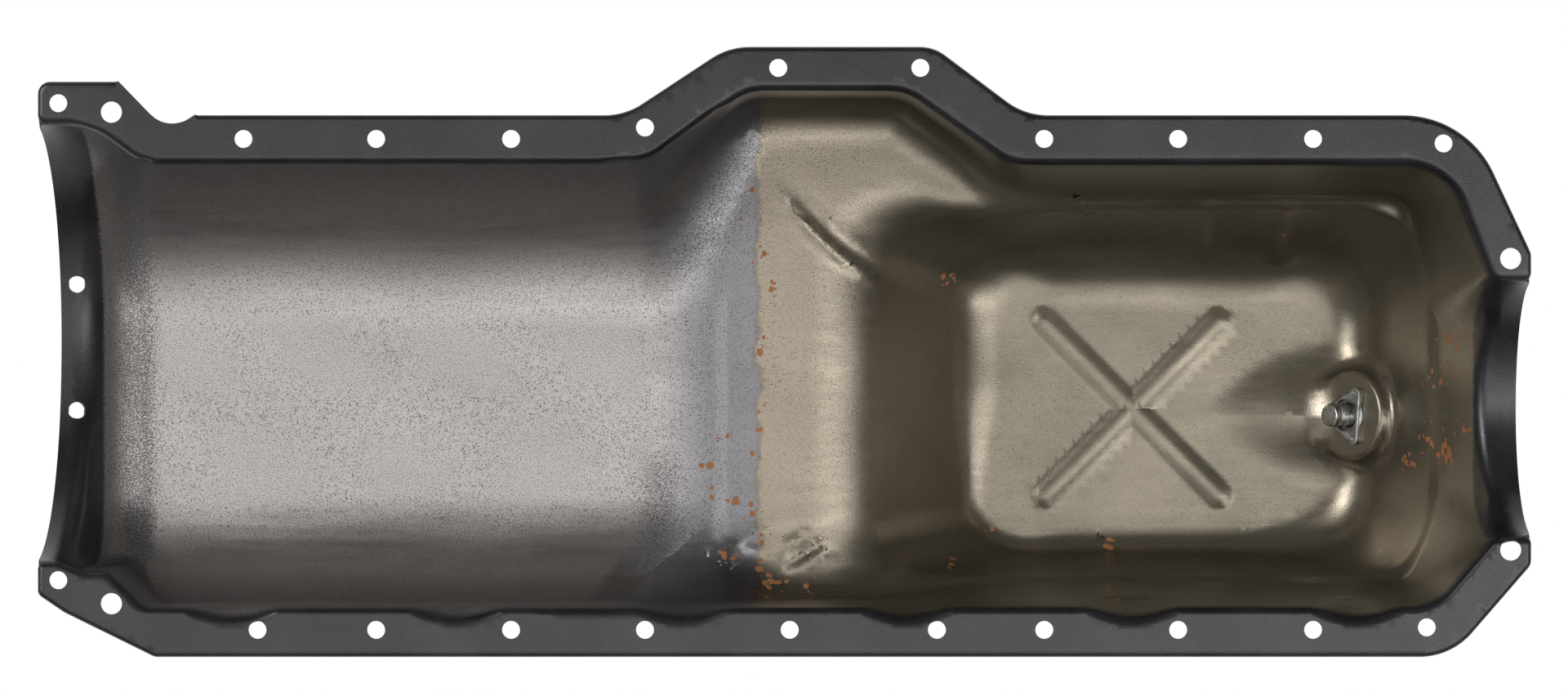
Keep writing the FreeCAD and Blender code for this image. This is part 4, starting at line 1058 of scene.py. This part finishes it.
def ring_of(shape, limit, height, flats):
    """Ring of vertices: a hexagon between its flats, cut off by a circle, or that circle alone."""
    ring = []
    for step in range(STEPS):
        angle = 2 * math.pi * step / STEPS
        across = (angle + math.pi / 6) % (math.pi / 3) - math.pi / 6
        reach = min(flats / 2 / math.cos(across), limit) * MM
        ring.append(shape.verts.new((reach * math.cos(angle), reach * math.sin(angle), height * MM)))
    return ring


def plug_shape():
    """Turned shank and collar, and the hexagon head with its chamfered top."""
    shape = bmesh.new()
    rings = [[shape.verts.new((0, 0, TIP_END * MM))]]
    rings += [ring_of(shape, limit, height, math.inf) for limit, height in TURNED]
    rings += [ring_of(shape, limit, height, HEAD_FLATS) for limit, height in HEAD]
    for low, high in zip(rings, rings[1:]):
        for step in range(STEPS):
            after = (step + 1) % STEPS
            corners = [low[step % len(low)], low[after % len(low)], high[after], high[step]]
            shape.faces.new(list(dict.fromkeys(corners)))
    shape.faces.new(rings[-1])
    bmesh.ops.recalc_face_normals(shape, faces=shape.faces)
    bmesh.ops.transform(shape, matrix=TO_DRAIN, verts=shape.verts)
    mesh = bpy.data.meshes.new("plug_turned")
    shape.to_mesh(mesh)
    shape.free()
    mesh.shade_smooth()
    mesh.set_sharp_from_angle(angle=math.radians(28))
    return mesh


plug = placed("plug_turned", plug_shape())
plug.data.materials.append(zinc_plug)
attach(plug, "plug")
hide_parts("drain_plug")
print("plug", len(plug.data.polygons), "faces")

# %% Thread from Geometry Nodes
PITCH = 1.27
RIDGE = 0.56
RIDGE_OUT = 0.22


def thread_tree():
    """Node tree: a spiral of turns that carries a triangular ridge."""
    tree = bpy.data.node_groups.new("rolled_thread", "GeometryNodeTree")
    face = tree.interface
    face.new_socket("Geometry", in_out="OUTPUT", socket_type="NodeSocketGeometry")
    face.new_socket("Geometry", in_out="INPUT", socket_type="NodeSocketGeometry")
    for name in ("Root Radius", "Height", "Turns", "Ridge"):
        face.new_socket(name, in_out="INPUT", socket_type="NodeSocketFloat")
    face.new_socket("Material", in_out="INPUT", socket_type="NodeSocketMaterial")
    entry = tree.nodes.new("NodeGroupInput").outputs
    spiral = add(tree, "GeometryNodeCurveSpiral", Resolution=48, Rotations=entry["Turns"],
                 Start_Radius=entry["Root Radius"], End_Radius=entry["Root Radius"], Height=entry["Height"])
    ridge = add(tree, "GeometryNodeCurvePrimitiveCircle", {"mode": "RADIUS"}, Resolution=3,
                Radius=entry["Ridge"])
    body = add(tree, "GeometryNodeCurveToMesh", Curve=spiral, Profile_Curve=ridge,
               Fill_Caps=True)
    real = add(tree, "GeometryNodeRealizeInstances", Geometry=body)
    faced = add(tree, "GeometryNodeSetMaterial", Geometry=real, Material=entry["Material"])
    add(tree, "NodeGroupOutput", Geometry=faced)
    return tree


def thread(name, start, end):
    """Mesh of the thread between two heights on the drain axis."""
    holder = placed(name, bpy.data.meshes.new(name))
    modifier = holder.modifiers.new("thread", "NODES")
    modifier.node_group = thread_tree()
    values = {"Root Radius": (ROOT_RADIUS + RIDGE_OUT) * MM, "Height": (end - start) * MM,
              "Turns": (end - start) / PITCH, "Ridge": RIDGE * MM, "Material": zinc_plug}
    for item in modifier.node_group.interface.items_tree:
        if item.name in values:
            modifier[item.identifier] = values[item.name]
    bpy.context.view_layer.update()
    evaluated = holder.evaluated_get(bpy.context.evaluated_depsgraph_get())
    mesh = bpy.data.meshes.new_from_object(evaluated)
    mesh.name = name
    holder.modifiers.clear()
    holder.data = mesh
    mesh.transform(TO_DRAIN @ Matrix.Translation((0, 0, start * MM)))
    return holder


plug_thread = thread("plug_thread", THREAD_START - 0.2, HEAD_SEAT - 1.5)
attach(plug_thread, "plug")
print("thread", len(plug_thread.data.polygons), "faces, size mm",
      [round(v / MM, 1) for v in plug_thread.dimensions])

# %% [markdown]
# The pan is lit as a catalogue part is: one large soft box overhead, smaller ones off its two ends and its
# near side, and a white floor. The floor looks white to the camera and to reflections whatever light falls on
# it, and it is clear from below, so that the underside can be looked at too.

# %% Floor, lamps and world
FLOOR_GAP_MM = 3.0
FLOOR_SIZE = 14.0
low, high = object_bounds()
floor_mesh = bpy.data.meshes.new("studio_floor")
half = FLOOR_SIZE / 2
floor_z = low.z - FLOOR_GAP_MM * MM
floor_corners = [(x * half, y * half, floor_z) for x, y in ((-1, -1), (1, -1), (1, 1), (-1, 1))]
floor_mesh.from_pydata(floor_corners, [], [(0, 1, 2, 3)])
floor_piece = placed("studio_floor", floor_mesh)


def white_floor():
    """Matt white that camera, glossy and transmission rays see as pure white; clear from below."""
    material, tree, paint, _ = new_material("matt_white_floor")
    wire(paint, Base_Color=colour("#E8E8E8"), Roughness=0.9)
    path = add(tree, "LightPath").outputs
    seen = add(tree, "Math", MOST, path["Is Camera Ray"], path["Is Glossy Ray"])
    seen = add(tree, "Math", MOST, seen, path["Is Transmission Ray"])
    glow = add(tree, "Emission", Color=(1, 1, 1, 1), Strength=1.0)
    above = add(tree, "MixShader", None, seen, paint, glow)
    below = add(tree, "NewGeometry").outputs["Backfacing"]
    sided = add(tree, "MixShader", None, below, above, add(tree, "BsdfTransparent"))
    wire(tree.nodes["Material Output"], Surface=sided)
    return material


floor_mesh.materials.append(white_floor())


def soft_box(name, place, size, radiance):
    """Area lamp of a given surface brightness, facing the middle of the pan."""
    data = bpy.data.lights.new(name, "AREA")
    data.shape = "RECTANGLE"
    data.size, data.size_y = size
    data.energy = radiance * math.pi * size[0] * size[1]
    lamp = placed(name, data)
    lamp.location = place
    lamp.rotation_euler = (-Vector(place)).to_track_quat("-Z", "Y").to_euler()


soft_box("overhead_box", (0.0, -0.9, 3.3), (2.2, 2.6), 2.15)
soft_box("front_box", (-2.2, 0.0, 2.3), (0.8, 1.2), 7.0)
soft_box("window_box", (-1.9, 0.95, 2.3), (0.8, 0.8), 22.0)
soft_box("rear_box", (1.75, -0.5, 2.55), (1.0, 2.2), 5.3)
soft_box("near_box", (0.0, -2.3, 2.1), (2.6, 1.0), 0.4)

world = bpy.data.worlds.new("studio_air")
bpy.context.scene.world = world
world.use_nodes = True
air = world.node_tree.nodes["Background"].inputs
air["Color"].default_value = colour("#C9C9C9")
air["Strength"].default_value = 0.17
bpy.context.scene.view_settings.view_transform = "Standard"
